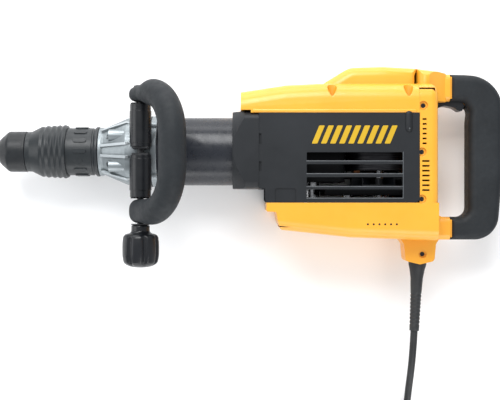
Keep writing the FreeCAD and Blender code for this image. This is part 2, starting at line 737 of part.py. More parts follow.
def cover_hump(inset):
    """Narrow hump over the motor's upper end."""
    half = HUMP_HALF - inset
    back = cover_back(inset)
    crown = CROWN_Y - inset
    body = slab([(394, 60), (396, 79.6 - inset, 12), (430, crown - 1.2, 26), (470, crown, 60),
                 (back, crown - 2.2), (back, 60)], -half, half)
    return body.makeFillet(12 - inset, shoulder_edges(body, 95))


def cover_screw_pockets():
    """Round wells over the four cover screws."""
    places = [(x, side * (COVER_SCREW_Z + 1.5)) for x in COVER_SCREWS_X for side in (-1, 1)]
    return fused(*[rod_y(5.6, 49.5, 100, x, z) for x, z in places])


def cover_screws():
    screws = []
    for x in COVER_SCREWS_X:
        for side in (-1, 1):
            screw = pan_screw(4.2, 2.0, 3.0, 24)
            screw.rotate(V(0, 0, 0), X_DIR, -90)
            screw.translate(V(x, 49.2, side * COVER_SCREW_Z))
            screws.append(screw)
    return screws


def side_screws():
    """Screws that hold the two rear shells together, all driven from the upper side."""
    screws = []
    places = [(x, y, WELL_FLOOR, 70) for x, y in SIDE_SCREWS] + [(*NECK_SCREW, 24)]
    for x, y, top, length in places:
        screw = pan_screw(3.9, 2.0, 2.6, length)
        screw.translate(V(x, y, top))
        screws.append(screw)
    return screws


def top_cover(screws):
    """Hollow cover with a post under each of its four screws."""
    outer = fused(cover_base(0), cover_hump(0))
    inner = cover_base(WALL).fuse(cover_hump(WALL))
    posts = fused(*[rod_y(7.4, PANEL_Y[1] + 0.2, 78, x, side * COVER_SCREW_Z)
                    for x in COVER_SCREWS_X for side in (-1, 1)])
    body = outer.cut(inner)
    body = body.cut(block(303, 311.1, 40, 48.9, -52.5, 52.5))
    body = body.fuse(posts.common(outer)).cut(cover_screw_pockets())
    return body.cut(Part.makeCompound(screws)).removeSplitter()


def handle_loop(inset, half, left):
    """The rear handle's D, open at its left end; inset shrinks its section all round."""
    back = LENGTH - inset
    low, low_top = LOW_ARM_Y[0] + inset, LOW_ARM_Y[1] - inset
    inner = 577.8 + inset
    return slab([(left, 94.2 - inset), (572, 93.8 - inset, 30), (back, 91 - inset, 42 - inset),
                 (back, -28, 80), (613 - inset, low, 30 - inset), (left, low), (left, low_top),
                 (inner, low_top, 12 + inset), (inner, 36, 20), (inner + 1.6, 50, 10),
                 (571.5 + inset, 61 + inset, 8), (left, 61 + inset)], -half, half)


def trigger_pocket():
    return block(535.2, 577.5, 44, 76, -9.8, 9.8)


def rear_grip():
    """Rubber over the handle core."""
    body = handle_loop(0, GRIP_HALF, ARM_END + 0.1)
    body = body.makeFillet(9, rim_edges(body, GRIP_HALF) + rim_edges(body, -GRIP_HALF))
    return body.cut(handle_loop(GRIP_WALL, GRIP_HALF - GRIP_WALL, 550)).cut(trigger_pocket())


def hump_plan():
    """The rear hump's outline seen from above the crown: it narrows to the arm's width."""
    plan = slab([(SEAM_X, -HUMP_HALF), (524, -HUMP_HALF, 8), (549, -19), (549, 19), (524, HUMP_HALF, 8),
                 (SEAM_X, HUMP_HALF)], -120, -50)
    plan.rotate(V(0, 0, 0), X_DIR, 90)
    return plan


def corner_web():
    """Rounds the corner between the strip and the lower arm."""
    radius = 14.0
    arm_top = LOW_ARM_Y[1]
    web = block(REAR_X - 4, REAR_X + radius, arm_top - 3.3, arm_top + radius, -18, 18)
    return web.cut(rod_z(radius, -30, 30, REAR_X + radius, arm_top + radius))


def strip_shape():
    """Upright wall behind the motor, with round shoulders and a round rear edge."""
    half = HALF_WIDTH
    strip = block(SEAM_X + 0.1, REAR_X, -74, STRIP_TOP, -half, half)
    shoulders = [e for e in strip.Edges if e.BoundBox.YMin > STRIP_TOP - 1 and e.BoundBox.XLength > 20]
    strip = strip.makeFillet(19, shoulders)
    rear = [e for e in level_edges(strip) if e.BoundBox.XMin > REAR_X - 0.1 and e.BoundBox.YLength > 50]
    return strip.makeFillet(9, rear)


def arm_shape(low, high):
    """Stretch of the rear handle that is yellow, between two levels."""
    arm = handle_loop(0, ARM_HALF, 520).common(block(520, ARM_END, low, high, -ARM_HALF, ARM_HALF))
    return arm.makeFillet(7, [e for e in level_edges(arm) if e.BoundBox.XLength > 30])


def rear_hump():
    crown = 99.0
    hump = slab([(SEAM_X + 0.1, 60), (SEAM_X + 0.1, crown), (552, 93.9), (552, 60)], -HUMP_HALF, HUMP_HALF)
    return hump.makeFillet(12, shoulder_edges(hump, 93)).common(hump_plan())


def belly_shape():
    """Lower part of the rear shells, under the motor and the gears."""
    top = PANEL_Y[0] - 0.2
    front = 329.5
    back, base = BELLY_LINE[-1]
    outline = [(front, top), (front, -73.5, 2), (341, -74), (343.4, -86), (*BELLY_LINE[0], 4),
               (392.5, -101.2), BELLY_LINE[1], (470, -106.8), (back, base, 9), (back, top)]
    belly = slab(outline, -HALF_WIDTH, HALF_WIDTH)
    belly = belly.common(block(320, REAR_X, -110, -60, -HALF_WIDTH, HALF_WIDTH))
    for ends in zip(BELLY_LINE, BELLY_LINE[1:]):
        belly = belly.common(long_block(ends, HALF_WIDTH, 14, -20))
    return belly


def neck_shape():
    """Flat neck that holds the strain relief."""
    return slab([(488, -99), (498.5, -114, 6), (500.3, -134.5, 5), (518, -138.6), (535.6, -134.5, 5),
                 (537.5, -114, 6), (546, -99)], -17, 17)


def rear_hollows():
    """Everything that is empty inside the rear shells."""
    inner = HALF_WIDTH - WALL
    back = REAR_X - WALL
    keel = [(333, -60), (333, -70.5), (344.5, -71), (349.5, -91.8), (392.5, -97.6), (430, -101),
            (470, -103.2), (back, -104.5), (back, -60)]
    return fused(block(SEAM_X - 2, back, -75, 74, -inner, inner), slab(keel, 9 - HALF_WIDTH, HALF_WIDTH - 9),
                 block(345, back, -92, -60, -inner, inner), handle_loop(6.5, 12.5, 526),
                 block(525, 545, 64.5, 88, -16.5, 16.5),
                 slab([(504, -100), (504, -118), (531, -118), (531, -100)], -13.5, 13.5))


def air_slits():
    """Six short and seven long slits through both sides of the strip, and six holes in the belly."""
    reach = HALF_WIDTH + 1
    rows = [(514.4, 519.2, 36.1 - 5.76 * k) for k in range(6)]
    rows += [(514.0, 522.7, -13.6 - 5.75 * k) for k in range(7)]
    slits = [block(x0, x1, y - SLIT_HALF, y + SLIT_HALF, -reach, reach) for x0, x1, y in rows]
    return slits + [rod_y(1.35, -112, -96, 425 + 6.75 * k, 33) for k in range(6)]


def rear_housing(screws):
    """Both rear shells before they are parted: strip, hump, belly, arms, handle core and cord neck."""
    half = HALF_WIDTH
    core = handle_loop(GRIP_WALL, GRIP_HALF - GRIP_WALL, 550)
    body = fused(strip_shape(), rear_hump(), arm_shape(60, 100), arm_shape(-110, -79), core, belly_shape(),
                 neck_shape(), corner_web())
    body = body.cut(rear_hollows()).cut(trigger_pocket()).cut(fused(*air_slits()))
    inside = block(SEAM_X + 0.1, REAR_X, -80, STRIP_TOP, -half, half)
    posts = [rod_z(4.6, -50, WELL_FLOOR + 1.5, x, y).common(inside) for x, y in SIDE_SCREWS]
    wells = [rod_z(5.4, WELL_FLOOR, 60, x, y) for x, y in SIDE_SCREWS]
    neck_x, neck_y, neck_z = NECK_SCREW
    wells.append(rod_z(4.8, neck_z, 20, neck_x, neck_y))
    body = fused(body, *posts).cut(fused(*wells)).cut(Part.makeCompound(screws))
    return body.cut(strain_relief())


def rear_half(body, side):
    """One shell: side is 1 for the one above the barrel's axis and -1 for the one under it."""
    z0, z1 = (0, 80) if side > 0 else (-80, 0)
    parted = body.common(block(300, 640, -160, 120, z0, z1))
    return max(parted.Solids, key=lambda s: s.Volume)


def trigger():
    """Curved paddle that swings up into the handle's corner."""
    outline = [(534.6, 45.0, 0.5), (535.8, 53.0, 4), (541.5, 60.5, 3), (545.0, 70.5, 3), (566.0, 70.5, 2),
               (570.5, 62.0, 2), (574.4, 56.4, 0.8), (571.0, 49.8, 1.2), (566.8, 49.8, 2), (560.0, 54.2, 8),
               (550.0, 56.2, 10), (541.5, 54.4, 8), (538.2, 47.4, 3)]
    body = slab(outline, -9, 9)
    eye = rod_z(5, -9, 9, *TRIGGER_PIVOT)
    return fused(body, eye).cut(rod_z(2 + FIT, -12, 12, *TRIGGER_PIVOT))


def trigger_pin():
    return rod_z(2, -9.8, 9.8, *TRIGGER_PIVOT)


def switch_module():
    return fused(block(531, 545, 77, 87.5, -12, 12), block(545, 556, 77, 87, -9, 9))


def cable_clamp():
    bar = block(509, 526, -105.5, -101, -12, 12)
    return bar.cut(rod_y(4, -110, -95, GUARD_TOP[0], 0))


# ---- cord --------------------------------------------------------------------------------------------------
def strain_relief():
    """Tapered rubber guard with a collar held in the neck; it leans a little towards the nose."""
    top = GUARD_TOP[1]
    reach = (top - GUARD_END_Y) / math.cos(math.radians(GUARD_TILT)) - 0.29
    profile = [(0, 5.5), (13.4, 5.5), (13.4, 2), (11.15, 2), (11.15, -2), (9.2, -9.5, 20), (7.6, -19, 30),
               (6.6, -50, 60), (6.0, -reach), (0, -reach)]
    guard = turned_y(profile, 0, 0)
    guard.rotate(V(0, 0, 0), Z_DIR, -GUARD_TILT)
    guard.translate(V(GUARD_TOP[0], top, 0))
    return guard


def cord_route():
    """Row-frame points of the free cord, from the strain relief down to the floor and on to the coil."""
    exit_x = GUARD_TOP[0] - (GUARD_TOP[1] - GUARD_END_Y) * math.tan(math.radians(GUARD_TILT)) - LENGTH / 2
    return [V(exit_x, GUARD_END_Y + ROW_Y, HALF_WIDTH), V(201.9, -190.0, 55.2), V(200.7, -216.0, 46.0),
            V(200.2, -240.0, 31.0), V(200.6, -263.0, 14.5), V(201.4, -287.0, 5.2), V(201.6, -309.0, 4.7),
            V(201.0, -331.0, 4.7)]


def cord_tube(points):
    """Straight runs joined by tangent arcs, with a round section."""
    edges = []
    start = points[0]
    radii = []
    for i in range(1, len(points) - 1):
        back = points[i - 1] - points[i]
        ahead = points[i + 1] - points[i]
        half = back.getAngle(ahead) / 2
        reach = 0.45 * min(back.Length, ahead.Length)
        radius = reach * math.tan(half)
        radii.append(round(radius, 1))
        back.normalize()
        ahead.normalize()
        middle = points[i] + (back + ahead).normalize() * (radius / math.sin(half) - radius)
        edges.append(Part.LineSegment(start, points[i] + back * reach).toShape())
        edges.append(Part.Arc(points[i] + back * reach, middle, points[i] + ahead * reach).toShape())
        start = points[i] + ahead * reach
    edges.append(Part.LineSegment(start, points[-1]).toShape())
    path = Part.Wire(edges)
    section = Part.Wire(Part.makeCircle(CORD_R, points[0], points[1] - points[0]))
    tube = path.makePipeShell([section], True, True)
    print("cord arc radii", radii, "length", round(path.Length, 1),
          "volume ratio", round(tube.Volume / (math.pi * CORD_R ** 2 * path.Length), 4))
    return tube


def cord_coil():
    """Outer shape of the put-away coil, lying on the floor."""
    ring = rod_z(COIL_TURN_R + COIL_HALF_BAND, 0.1, COIL_HEIGHT + 0.1, *COIL_CENTRE)
    return ring.cut(rod_z(COIL_TURN_R - COIL_HALF_BAND, -1, COIL_HEIGHT + 1, *COIL_CENTRE))


def cord_plug():
    """Moulded plug lying on the coil, and its two pins."""
    front = COIL_CENTRE[0] - 34
    back = front + 36
    y = COIL_CENTRE[1] - 44
    z = COIL_HEIGHT + PLUG_HALF_HEIGHT + 0.5
    body = block(front, back, y - 17, y + 17, z - PLUG_HALF_HEIGHT, z + PLUG_HALF_HEIGHT)
    body = body.makeFillet(8, [e for e in body.Edges if e.BoundBox.XLength > 30])
    neck = Part.makeCone(10, 6.5, 22, V(back, y, z), X_DIR)
    pins = [rod_x(2.4, front - 19, front, y + side * 9.5, z) for side in (-1, 1)]
    return Part.makeCompound([fused(body, neck)] + pins)


# ---- side handle -------------------------------------------------------------------------------------------
def clamp_band():
    """Steel strap round the nose casting's seat, its ends turned out as two ears."""
    low, high = EAR_GAP_Y
    ring = ring_x(SEAT_R + BAND_WALL, SEAT_R, *BAND_X)
    ears = fused(block(*BAND_X, high, high + EAR_WALL, 40, 66), block(*BAND_X, low - EAR_WALL, low, 40, 66))
    gap = block(170, 191, low, high, 35, 70)
    inside = rod_x(SEAT_R, 165, 195)
    hole = rod_y(BOLT_R, -10, 10, PIVOT_X, PIVOT_Z)
    return fused(ring, ears.cut(inside)).cut(gap).cut(hole)


def clamp_jaw(span, face):
    """Jaw on the band's shoulder: saddle block and round post; teeth on the face towards the loop."""
    low, high = span
    near, far = (low, low + 34) if face > 0 else (high - 34, high)
    post = rod_y(12.4, low, high, PIVOT_X, PIVOT_Z)
    saddle = block(*BAND_X, near, far, 30, PIVOT_Z)
    step_low, step_high = (low + 4, high - 8) if face > 0 else (low + 8, high - 4)
    step = rod_y(13.0, step_low, step_high, PIVOT_X, PIVOT_Z)
    body = fused(post, saddle, step).cut(rod_x(SEAT_R + BAND_WALL, 160, 200))
    root, tip = (high - 0.5, high + 1.7) if face > 0 else (low - 1.7, low + 0.5)
    tooth = block(5, 11.6, root, tip, -1.1, 1.1)
    teeth = fused(*turned_copies(tooth, 0, 16))
    teeth.translate(V(PIVOT_X, 0, PIVOT_Z))
    return fused(body, teeth).cut(rod_y(BOLT_R, -95, 80, PIVOT_X, PIVOT_Z))


def clamp_jaws():
    return Part.makeCompound([clamp_jaw(JAW_UPPER, 1), clamp_jaw(JAW_LOWER, -1)])


def clamp_bolt():
    head = hexagon(8, 6)
    head.rotate(V(0, 0, 0), X_DIR, -90)
    head.translate(V(PIVOT_X, 69.5, PIVOT_Z))
    return fused(head, rod_y(BOLT_R, -133, 70, PIVOT_X, PIVOT_Z))


def loop_path(start):
    """Centreline of the loop in its own plane, from x = start on one arm to x = start on the other."""
    top, bottom = LOOP_ARM_Y
    bend = LOOP_BEND_R
    square = LOOP_OUT - bend
    inside = bend * math.sqrt(0.5)
    upper_end, upper_turn = V(start, top, 0), V(square, top, 0)
    far_top, far_low = V(LOOP_OUT, top - bend, 0), V(LOOP_OUT, bottom + bend, 0)
    lower_turn, lower_end = V(square, bottom, 0), V(start, bottom, 0)
    bend_top = V(square + inside, top - bend + inside, 0)
    bend_low = V(square + inside, bottom + bend - inside, 0)
    pieces = (Part.LineSegment(upper_end, upper_turn), Part.Arc(upper_turn, bend_top, far_top),
              Part.LineSegment(far_top, far_low), Part.Arc(far_low, bend_low, lower_turn),
              Part.LineSegment(lower_turn, lower_end))
    return Part.Wire([piece.toShape() for piece in pieces])


def lean(shape):
    """From the loop's own plane to its place on the bolt, leaning to the rear."""
    shape.rotate(V(0, 0, 0), Y_DIR, -90 + LOOP_LEAN)
    shape.translate(V(PIVOT_X, 0, PIVOT_Z))
    return shape


def swept_disc(path, radius):
    start = path.Vertexes[0].Point
    heading = path.Edges[0].tangentAt(path.Edges[0].FirstParameter)
    return path.makePipeShell([Part.Wire(Part.makeCircle(radius, start, heading))], True, True)


def pivot_rod(radius, y0, y1):
    """Round bar on the side handle's bolt."""
    return rod_y(radius, y0, y1, PIVOT_X, PIVOT_Z)


def loop_frame():
    """Loop core with its two bosses; the bolt's head sits in the upper one."""
    arch = lean(swept_disc(loop_path(0), LOOP_CORE_R))
    body = fused(arch, pivot_rod(13.4, *BOSS_UPPER), pivot_rod(13.4, *BOSS_LOWER))
    body = body.cut(pivot_rod(BOLT_R + 0.08, -95, 80)).cut(pivot_rod(8.4, 69.3, 80))
    for inner_side in ((20, BOSS_UPPER[0]), (BOSS_LOWER[1], -20)):
        body = body.cut(pivot_rod(20, *inner_side))
    return body


def loop_grip():
    """Rubber sleeve over the outer part of the loop."""
    outer = swept_disc(loop_path(GRIP_START), GRIP_R)
    inner = swept_disc(loop_path(0), LOOP_CORE_R)
    return lean(outer.cut(inner))


def knob_washer():
    return ring_y(KNOB_NECK_R, BOLT_R + 0.08, KNOB_TOP + 0.2, -88.0, PIVOT_X, PIVOT_Z)


def clamp_knob():
    """Lobed knob with a round neck, hollow for its brass insert and the end of the bolt."""
    end = -139.8
    body = turned_y([(0, KNOB_TOP), (KNOB_NECK_R, KNOB_TOP, 0.8), (KNOB_NECK_R, -99.5, 1), (19.6, -100.4),
                     (KNOB_R, -104, 3), (KNOB_R, -133, 5), (12, end, 8), (0, end)], 0, 0)
    flute = rod_y(9, -141, -101.5, 28.6)
    body = body.cut(fused(*turned_copies(flute, 0, KNOB_LOBES)))
    body.translate(V(PIVOT_X, 0, PIVOT_Z))
    return body.cut(pivot_rod(INSERT_R, -126, -89)).cut(pivot_rod(BOLT_R + 1, -134, -120))


def knob_insert():
    return ring_y(INSERT_R, BOLT_R + 0.08, -126, -90, PIVOT_X, PIVOT_Z)


# ---- the assembly ------------------------------------------------------------------------------------------
def tool_end():
    screws = nose_screws()
    return {
        "dust_cap": dust_cap(), "locking_sleeve": locking_sleeve(), "index_collar": index_collar(),
        "tool_holder_tube": tool_holder_tube(), "lock_roller_upper": lock_roller(1),
        "lock_roller_lower": lock_roller(-1), "sleeve_spring": sleeve_spring(), "beat_piece": beat_piece(),
        "nose_screws": screws, "nose_casting": nose_casting(screws), "front_bush": front_bush(),
        "barrel_tube": barrel_tube(screws), "cylinder": cylinder(), "ram": ram(), "ram_ring": seal_ring(211),
        "piston": piston(), "piston_ring": seal_ring(PISTON_FRONT + 5), "wrist_pin": wrist_pin(),
    }


def drive():
    return {
        "connecting_rod": connecting_rod(), "crank_pin": crank_pin(), "crankshaft": crankshaft(),
        "crank_gear": crank_gear(), "countershaft": countershaft(), "countershaft_gear": countershaft_gear(),
        "gear_bearings": gear_bearings(), "crankcase": crankcase(), "bearing_plate": bearing_plate(),
        "gear_cover": gear_cover(), "stator_core": stator_core(), "field_coils": field_coils(),
        "armature_shaft": armature_shaft(), "armature_core": armature_core(), "commutator": commutator(),
        "cooling_fan": cooling_fan(), "armature_bearings": armature_bearings(),
        "brush_bracket": brush_bracket(), "carbon_brushes": carbon_brushes(),
    }


def housings():
    cover_bolts = cover_screws()
    side_bolts = side_screws()
    rear = rear_housing(side_bolts)
    return {
        "collar_cover": collar_cover(), "motor_housing": motor_housing(cover_bolts + side_bolts),
        "top_cover": top_cover(cover_bolts), "housing_screws": Part.makeCompound(cover_bolts + side_bolts),
        "rear_housing_left": rear_half(rear, 1), "rear_housing_right": rear_half(rear, -1),
        "rear_grip": rear_grip(), "trigger": trigger(), "trigger_pin": trigger_pin(),
        "switch_module": switch_module(), "cable_clamp": cable_clamp(), "strain_relief": strain_relief(),
    }


def side_handle():
    return {
        "clamp_band": clamp_band(), "clamp_jaws": clamp_jaws(), "clamp_bolt": clamp_bolt(),
        "loop_frame": loop_frame(), "loop_grip": loop_grip(), "knob_washer": knob_washer(),
        "clamp_knob": clamp_knob(), "knob_insert": knob_insert(),
    }


def cord():
    return {"cord_lead": cord_tube(cord_route()), "cord_coil": cord_coil(), "cord_plug": cord_plug()}


def export(name, shape, move):
    placed = shape.copy()
    placed.translate(move)
    placed.exportStep("parts/%s.step" % name)
    print(name, len(placed.Solids), "solid(s)", "valid" if placed.isValid() else "NOT VALID",
          round(placed.Volume / 1000, 1), "cm3")


os.makedirs("parts", exist_ok=True)
for group in (tool_end(), drive(), housings(), side_handle()):
    for node, solid in group.items():
        export(node, solid, TO_ROW)
for node, solid in cord().items():
    export(node, solid, V(0, 0, 0))
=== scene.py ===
import math

import bmesh
import bpy
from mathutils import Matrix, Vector


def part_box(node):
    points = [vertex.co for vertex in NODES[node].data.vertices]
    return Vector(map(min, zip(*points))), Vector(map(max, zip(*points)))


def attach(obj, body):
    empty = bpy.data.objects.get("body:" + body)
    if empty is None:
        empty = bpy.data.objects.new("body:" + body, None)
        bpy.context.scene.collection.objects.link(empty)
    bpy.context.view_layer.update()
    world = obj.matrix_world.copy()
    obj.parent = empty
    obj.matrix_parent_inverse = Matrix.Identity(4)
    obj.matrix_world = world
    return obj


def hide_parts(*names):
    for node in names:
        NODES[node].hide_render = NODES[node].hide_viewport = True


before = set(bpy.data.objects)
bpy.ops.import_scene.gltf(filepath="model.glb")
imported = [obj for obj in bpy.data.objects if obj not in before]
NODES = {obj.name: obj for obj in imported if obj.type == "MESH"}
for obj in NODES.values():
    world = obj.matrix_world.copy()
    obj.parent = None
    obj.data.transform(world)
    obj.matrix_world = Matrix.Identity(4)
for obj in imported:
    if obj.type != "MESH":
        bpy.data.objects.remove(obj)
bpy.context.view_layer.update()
MM = 0.001

# Tool coordinates, in millimetres: x back from the nose tip, y up from the barrel's axis towards the
# trigger's side, z from the barrel's axis away from the floor. tool() turns them into the row frame, in
# metres.
BARREL_LOW, BARREL_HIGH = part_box("barrel_tube")
NOSE_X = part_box("dust_cap")[0].x
AXIS_Y = (BARREL_LOW.y + BARREL_HIGH.y) / 2
AXIS_Z = (BARREL_LOW.z + BARREL_HIGH.z) / 2
FACE_Z = (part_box("motor_housing")[1].z - AXIS_Z) / MM


def tool(x, y, z):
    return Vector((NOSE_X + x * MM, AXIS_Y + y * MM, AXIS_Z + z * MM))


# ---- camera and light ----------------------------------------------------------------------------
LENS = 72.6
SENSOR = 36
CAMERA_PLACE = (0, 0.0005, 1.306)
FAR = 50
AREA_LIGHTS = (
    # name, place, aimed at, width and height in metres, power in watts
    ("key", (-0.25, 1.15, 1.35), (0, 0, 0.05), 1.1, 0.9, 30),
    ("fill", (0.5, -1.2, 1.3), (0, 0, 0.05), 1.2, 0.9, 13),
    ("strip_high", (0, 0.95, 0.20), (0, 0, 0.06), 1.6, 0.30, 6),
    ("strip_low", (0, -1.05, 0.20), (0, 0, 0.06), 1.6, 0.30, 5),
    ("nose_side", (-1.2, 0.1, 0.6), (-0.2, 0, 0.05), 0.7, 0.7, 4),
)
SKY_COLOUR = (0.93, 0.96, 1.0, 1)
SKY_STRENGTH = 0.62


def make_camera():
    data = bpy.data.cameras.new("camera")
    data.lens = LENS
    data.sensor_width = SENSOR
    data.clip_end = FAR
    camera = bpy.data.objects.new("camera", data)
    camera.location = CAMERA_PLACE
    bpy.context.scene.collection.objects.link(camera)
    bpy.context.scene.camera = camera


def area_light(name, place, aim, size, size_y, power):
    data = bpy.data.lights.new(name, "AREA")
    data.shape = "RECTANGLE"
    data.size = size
    data.size_y = size_y
    data.energy = power
    light = bpy.data.objects.new(name, data)
    light.location = place
    light.rotation_euler = (Vector(aim) - Vector(place)).to_track_quat("-Z", "Y").to_euler()
    light.visible_camera = False
    bpy.context.scene.collection.objects.link(light)


def make_lights():
    for light in AREA_LIGHTS:
        area_light(*light)
    world = bpy.data.worlds.new("studio")
    world.use_nodes = True
    background = world.node_tree.nodes["Background"]
    background.inputs["Color"].default_value = SKY_COLOUR
    background.inputs["Strength"].default_value = SKY_STRENGTH
    bpy.context.scene.world = world


make_camera()
bpy.context.scene.view_settings.view_transform = "Standard"


# ---- materials -----------------------------------------------------------------------------------
MOULD_EDGE = 0.6 * MM
CAST_EDGE = 0.7 * MM
EDGE_SAMPLES = 6


class Finish:
    """A Principled material that is built up from procedural layers."""

    def __init__(self, name, roughness, metallic=0.0, specular=0.5):
        self.material = bpy.data.materials.new(name)
        self.material.use_nodes = True
        self.tree = self.material.node_tree
        self.shader = self.tree.nodes["Principled BSDF"]
        self.shader.inputs["Metallic"].default_value = metallic
        self.shader.inputs["Roughness"].default_value = roughness
        self.shader.inputs["Specular IOR Level"].default_value = specular
        self.coords = self.tree.nodes.new("ShaderNodeTexCoord")

    def link(self, source, target):
        self.tree.links.new(source, target)

    def stretched(self, scale):
        mapping = self.tree.nodes.new("ShaderNodeMapping")
        mapping.inputs["Scale"].default_value = scale
        self.link(self.coords.outputs["Object"], mapping.inputs["Vector"])
        return mapping.outputs["Vector"]

    def noise(self, scale, detail=3.0, rough=0.55, stretch=(1, 1, 1)):
        node = self.tree.nodes.new("ShaderNodeTexNoise")
        node.inputs["Scale"].default_value = scale
        node.inputs["Detail"].default_value = detail
        node.inputs["Roughness"].default_value = rough
        self.link(self.stretched(stretch), node.inputs["Vector"])
        return node.outputs["Fac"]

    def cells(self, scale):
        node = self.tree.nodes.new("ShaderNodeTexVoronoi")
        node.inputs["Scale"].default_value = scale
        self.link(self.stretched((1, 1, 1)), node.inputs["Vector"])
        return node.outputs["Distance"]

    def spread(self, value, low, high, to_low, to_high):
        node = self.tree.nodes.new("ShaderNodeMapRange")
        limits = (("From Min", low), ("From Max", high), ("To Min", to_low), ("To Max", to_high))
        for name, number in limits:
            node.inputs[name].default_value = number
        self.link(value, node.inputs["Value"])
        return node.outputs["Result"]

    def mixed(self, factor, first, second):
        """Colour mix; first and second are colours or sockets."""
        node = self.tree.nodes.new("ShaderNodeMix")
        node.data_type = "RGBA"
        self.link(factor, node.inputs["Factor"])
        colour_inputs = [s for s in node.inputs if s.type == "RGBA"]
        for socket, value in zip(colour_inputs, (first, second)):
            if isinstance(value, tuple):
                socket.default_value = (*value, 1)
            else:
                self.link(value, socket)
        return [s for s in node.outputs if s.type == "RGBA"][0]

    def pointed(self, low, high):
        """0 up to the pointiness low, 1 from high: hollows are under 0.5, flats at 0.5, edges over it."""
        geometry = self.tree.nodes.new("ShaderNodeNewGeometry")
        return self.spread(geometry.outputs["Pointiness"], low, high, 0, 1)

    def colour(self, value):
        if isinstance(value, tuple):
            self.shader.inputs["Base Color"].default_value = (*value, 1)
        else:
            self.link(value, self.shader.inputs["Base Color"])

    def roughness(self, value):
        self.link(value, self.shader.inputs["Roughness"])

    def soft_edges(self, radius):
        """Light rolls round sharp edges as if they were broken to that radius."""
        node = self.tree.nodes.new("ShaderNodeBevel")
        node.samples = EDGE_SAMPLES
        node.inputs["Radius"].default_value = radius
        self.link(node.outputs["Normal"], self.shader.inputs["Normal"])

    def bump(self, height, distance, strength=1.0):
        node = self.tree.nodes.new("ShaderNodeBump")
        node.inputs["Distance"].default_value = distance
        node.inputs["Strength"].default_value = strength
        self.link(height, node.inputs["Height"])
        if self.shader.inputs["Normal"].is_linked:
            self.link(self.shader.inputs["Normal"].links[0].from_socket, node.inputs["Normal"])
        self.link(node.outputs["Normal"], self.shader.inputs["Normal"])


def moulded(name, deep, light, roughness, grain=2200, grain_depth=0.00006, specular=0.5, coat=0.0):
    """Textured moulded plastic: fine grain, slightly uneven colour, softly broken edges."""
    f = Finish(name, roughness, specular=specular)
    cloud = f.spread(f.noise(14, 4), 0.3, 0.7, 0, 1)
    f.colour(f.mixed(cloud, deep, light))
    f.roughness(f.spread(f.noise(90, 4), 0.3, 0.7, roughness - 0.05, roughness + 0.07))
    f.soft_edges(MOULD_EDGE)
    f.bump(f.cells(grain), grain_depth, 0.5)
    f.shader.inputs["Coat Weight"].default_value = coat
    f.shader.inputs["Coat Roughness"].default_value = 0.25
    return f.material


def rubber(name, deep, light, roughness=0.62, grain=2600):
    """Matt rubber with a little dust on it."""
    f = Finish(name, roughness, specular=0.3)
    cloud = f.spread(f.noise(30, 5), 0.3, 0.7, 0, 1)
    dust = f.spread(f.noise(9, 6, 0.7), 0.52, 0.8, 0, 0.5)
    f.colour(f.mixed(dust, f.mixed(cloud, deep, light), tuple(c * 1.7 + 0.004 for c in light)))
    f.roughness(f.spread(f.noise(160, 3), 0.3, 0.7, roughness - 0.06, roughness + 0.1))
    f.bump(f.noise(grain, 2), 0.00009, 0.6)
    return f.material


def metal(name, colour, roughness, stretch=(1, 1, 1), metallic=1.0):
    """Machined or drawn metal; stretch sets the lay of its marks."""
    grain = 900
    depth = 0.00002
    f = Finish(name, roughness, metallic=metallic)
    tone = f.spread(f.noise(60, 5, 0.6, stretch), 0.25, 0.75, 0, 1)
    f.colour(f.mixed(tone, tuple(c * 0.78 for c in colour), colour))
    marks = f.noise(grain * 0.4, 3, 0.6, stretch)
    f.roughness(f.spread(marks, 0.3, 0.7, roughness - 0.06, roughness + 0.10))
    f.bump(f.noise(grain, 3, 0.6, stretch), depth, 0.6)
    return f.material


def casting():
    """Shot-blasted light alloy, with painted shade darkening its hollows and a painted highlight lightening
    its edges.
    """
    f = Finish("cast_alloy", 0.42, metallic=0.75)
    tone = f.spread(f.noise(40, 5, 0.6), 0.3, 0.7, 0, 1)
    base = f.mixed(tone, (0.20, 0.225, 0.235), (0.30, 0.33, 0.345))
    # Painted shade: hollows found by pointiness go nearly black; painted highlight: edges found by pointiness
    # go pale.
    clear_of_painted_shade = f.pointed(0.42, 0.49)
    edge = f.pointed(0.57, 0.68)
    f.colour(f.mixed(edge, f.mixed(clear_of_painted_shade, (0.07, 0.08, 0.085), base), (0.55, 0.59, 0.61)))
    f.soft_edges(CAST_EDGE)
    f.roughness(f.spread(f.noise(200, 4), 0.3, 0.7, 0.34, 0.52))
    f.bump(f.noise(1500, 4, 0.7), 0.00012, 0.7)
    return f.material


def coated_barrel():
    """Dark satin paint over a turned tube."""
    f = Finish("satin_coated_tube", 0.27, specular=0.34)
    rings = f.noise(900, 2, 0.5, (1, 0.02, 0.02))
    cloud = f.spread(f.noise(18, 5), 0.3, 0.7, 0, 1)
    f.colour(f.mixed(cloud, (0.012, 0.014, 0.019), (0.019, 0.021, 0.027)))
    f.roughness(f.spread(f.noise(120, 5), 0.3, 0.7, 0.22, 0.36))
    f.bump(rings, 0.00002, 0.4)
    return f.material


def windings():
    """Enamelled copper wire, laid along x."""
    f = Finish("enamelled_wire", 0.35, metallic=0.85)
    wires = f.noise(700, 2, 0.5, (0.06, 1, 1))
    f.colour(f.mixed(f.spread(wires, 0.4, 0.6, 0, 1), (0.10, 0.035, 0.012), (0.26, 0.10, 0.04)))
    f.bump(wires, 0.0002, 0.9)
    return f.material


def laminations():
    """A stack of thin steel sheets across y."""
    f = Finish("steel_laminations", 0.45, metallic=0.9)
    sheets = f.noise(1600, 1, 0.5, (0.02, 1, 0.02))
    # Painted shade: the sheets are coloured near black so that the air slots read dark.
    f.colour(f.mixed(f.spread(sheets, 0.45, 0.55, 0, 1), (0.015, 0.015, 0.017), (0.045, 0.045, 0.048)))
    f.bump(sheets, 0.0001, 0.8)
    return f.material


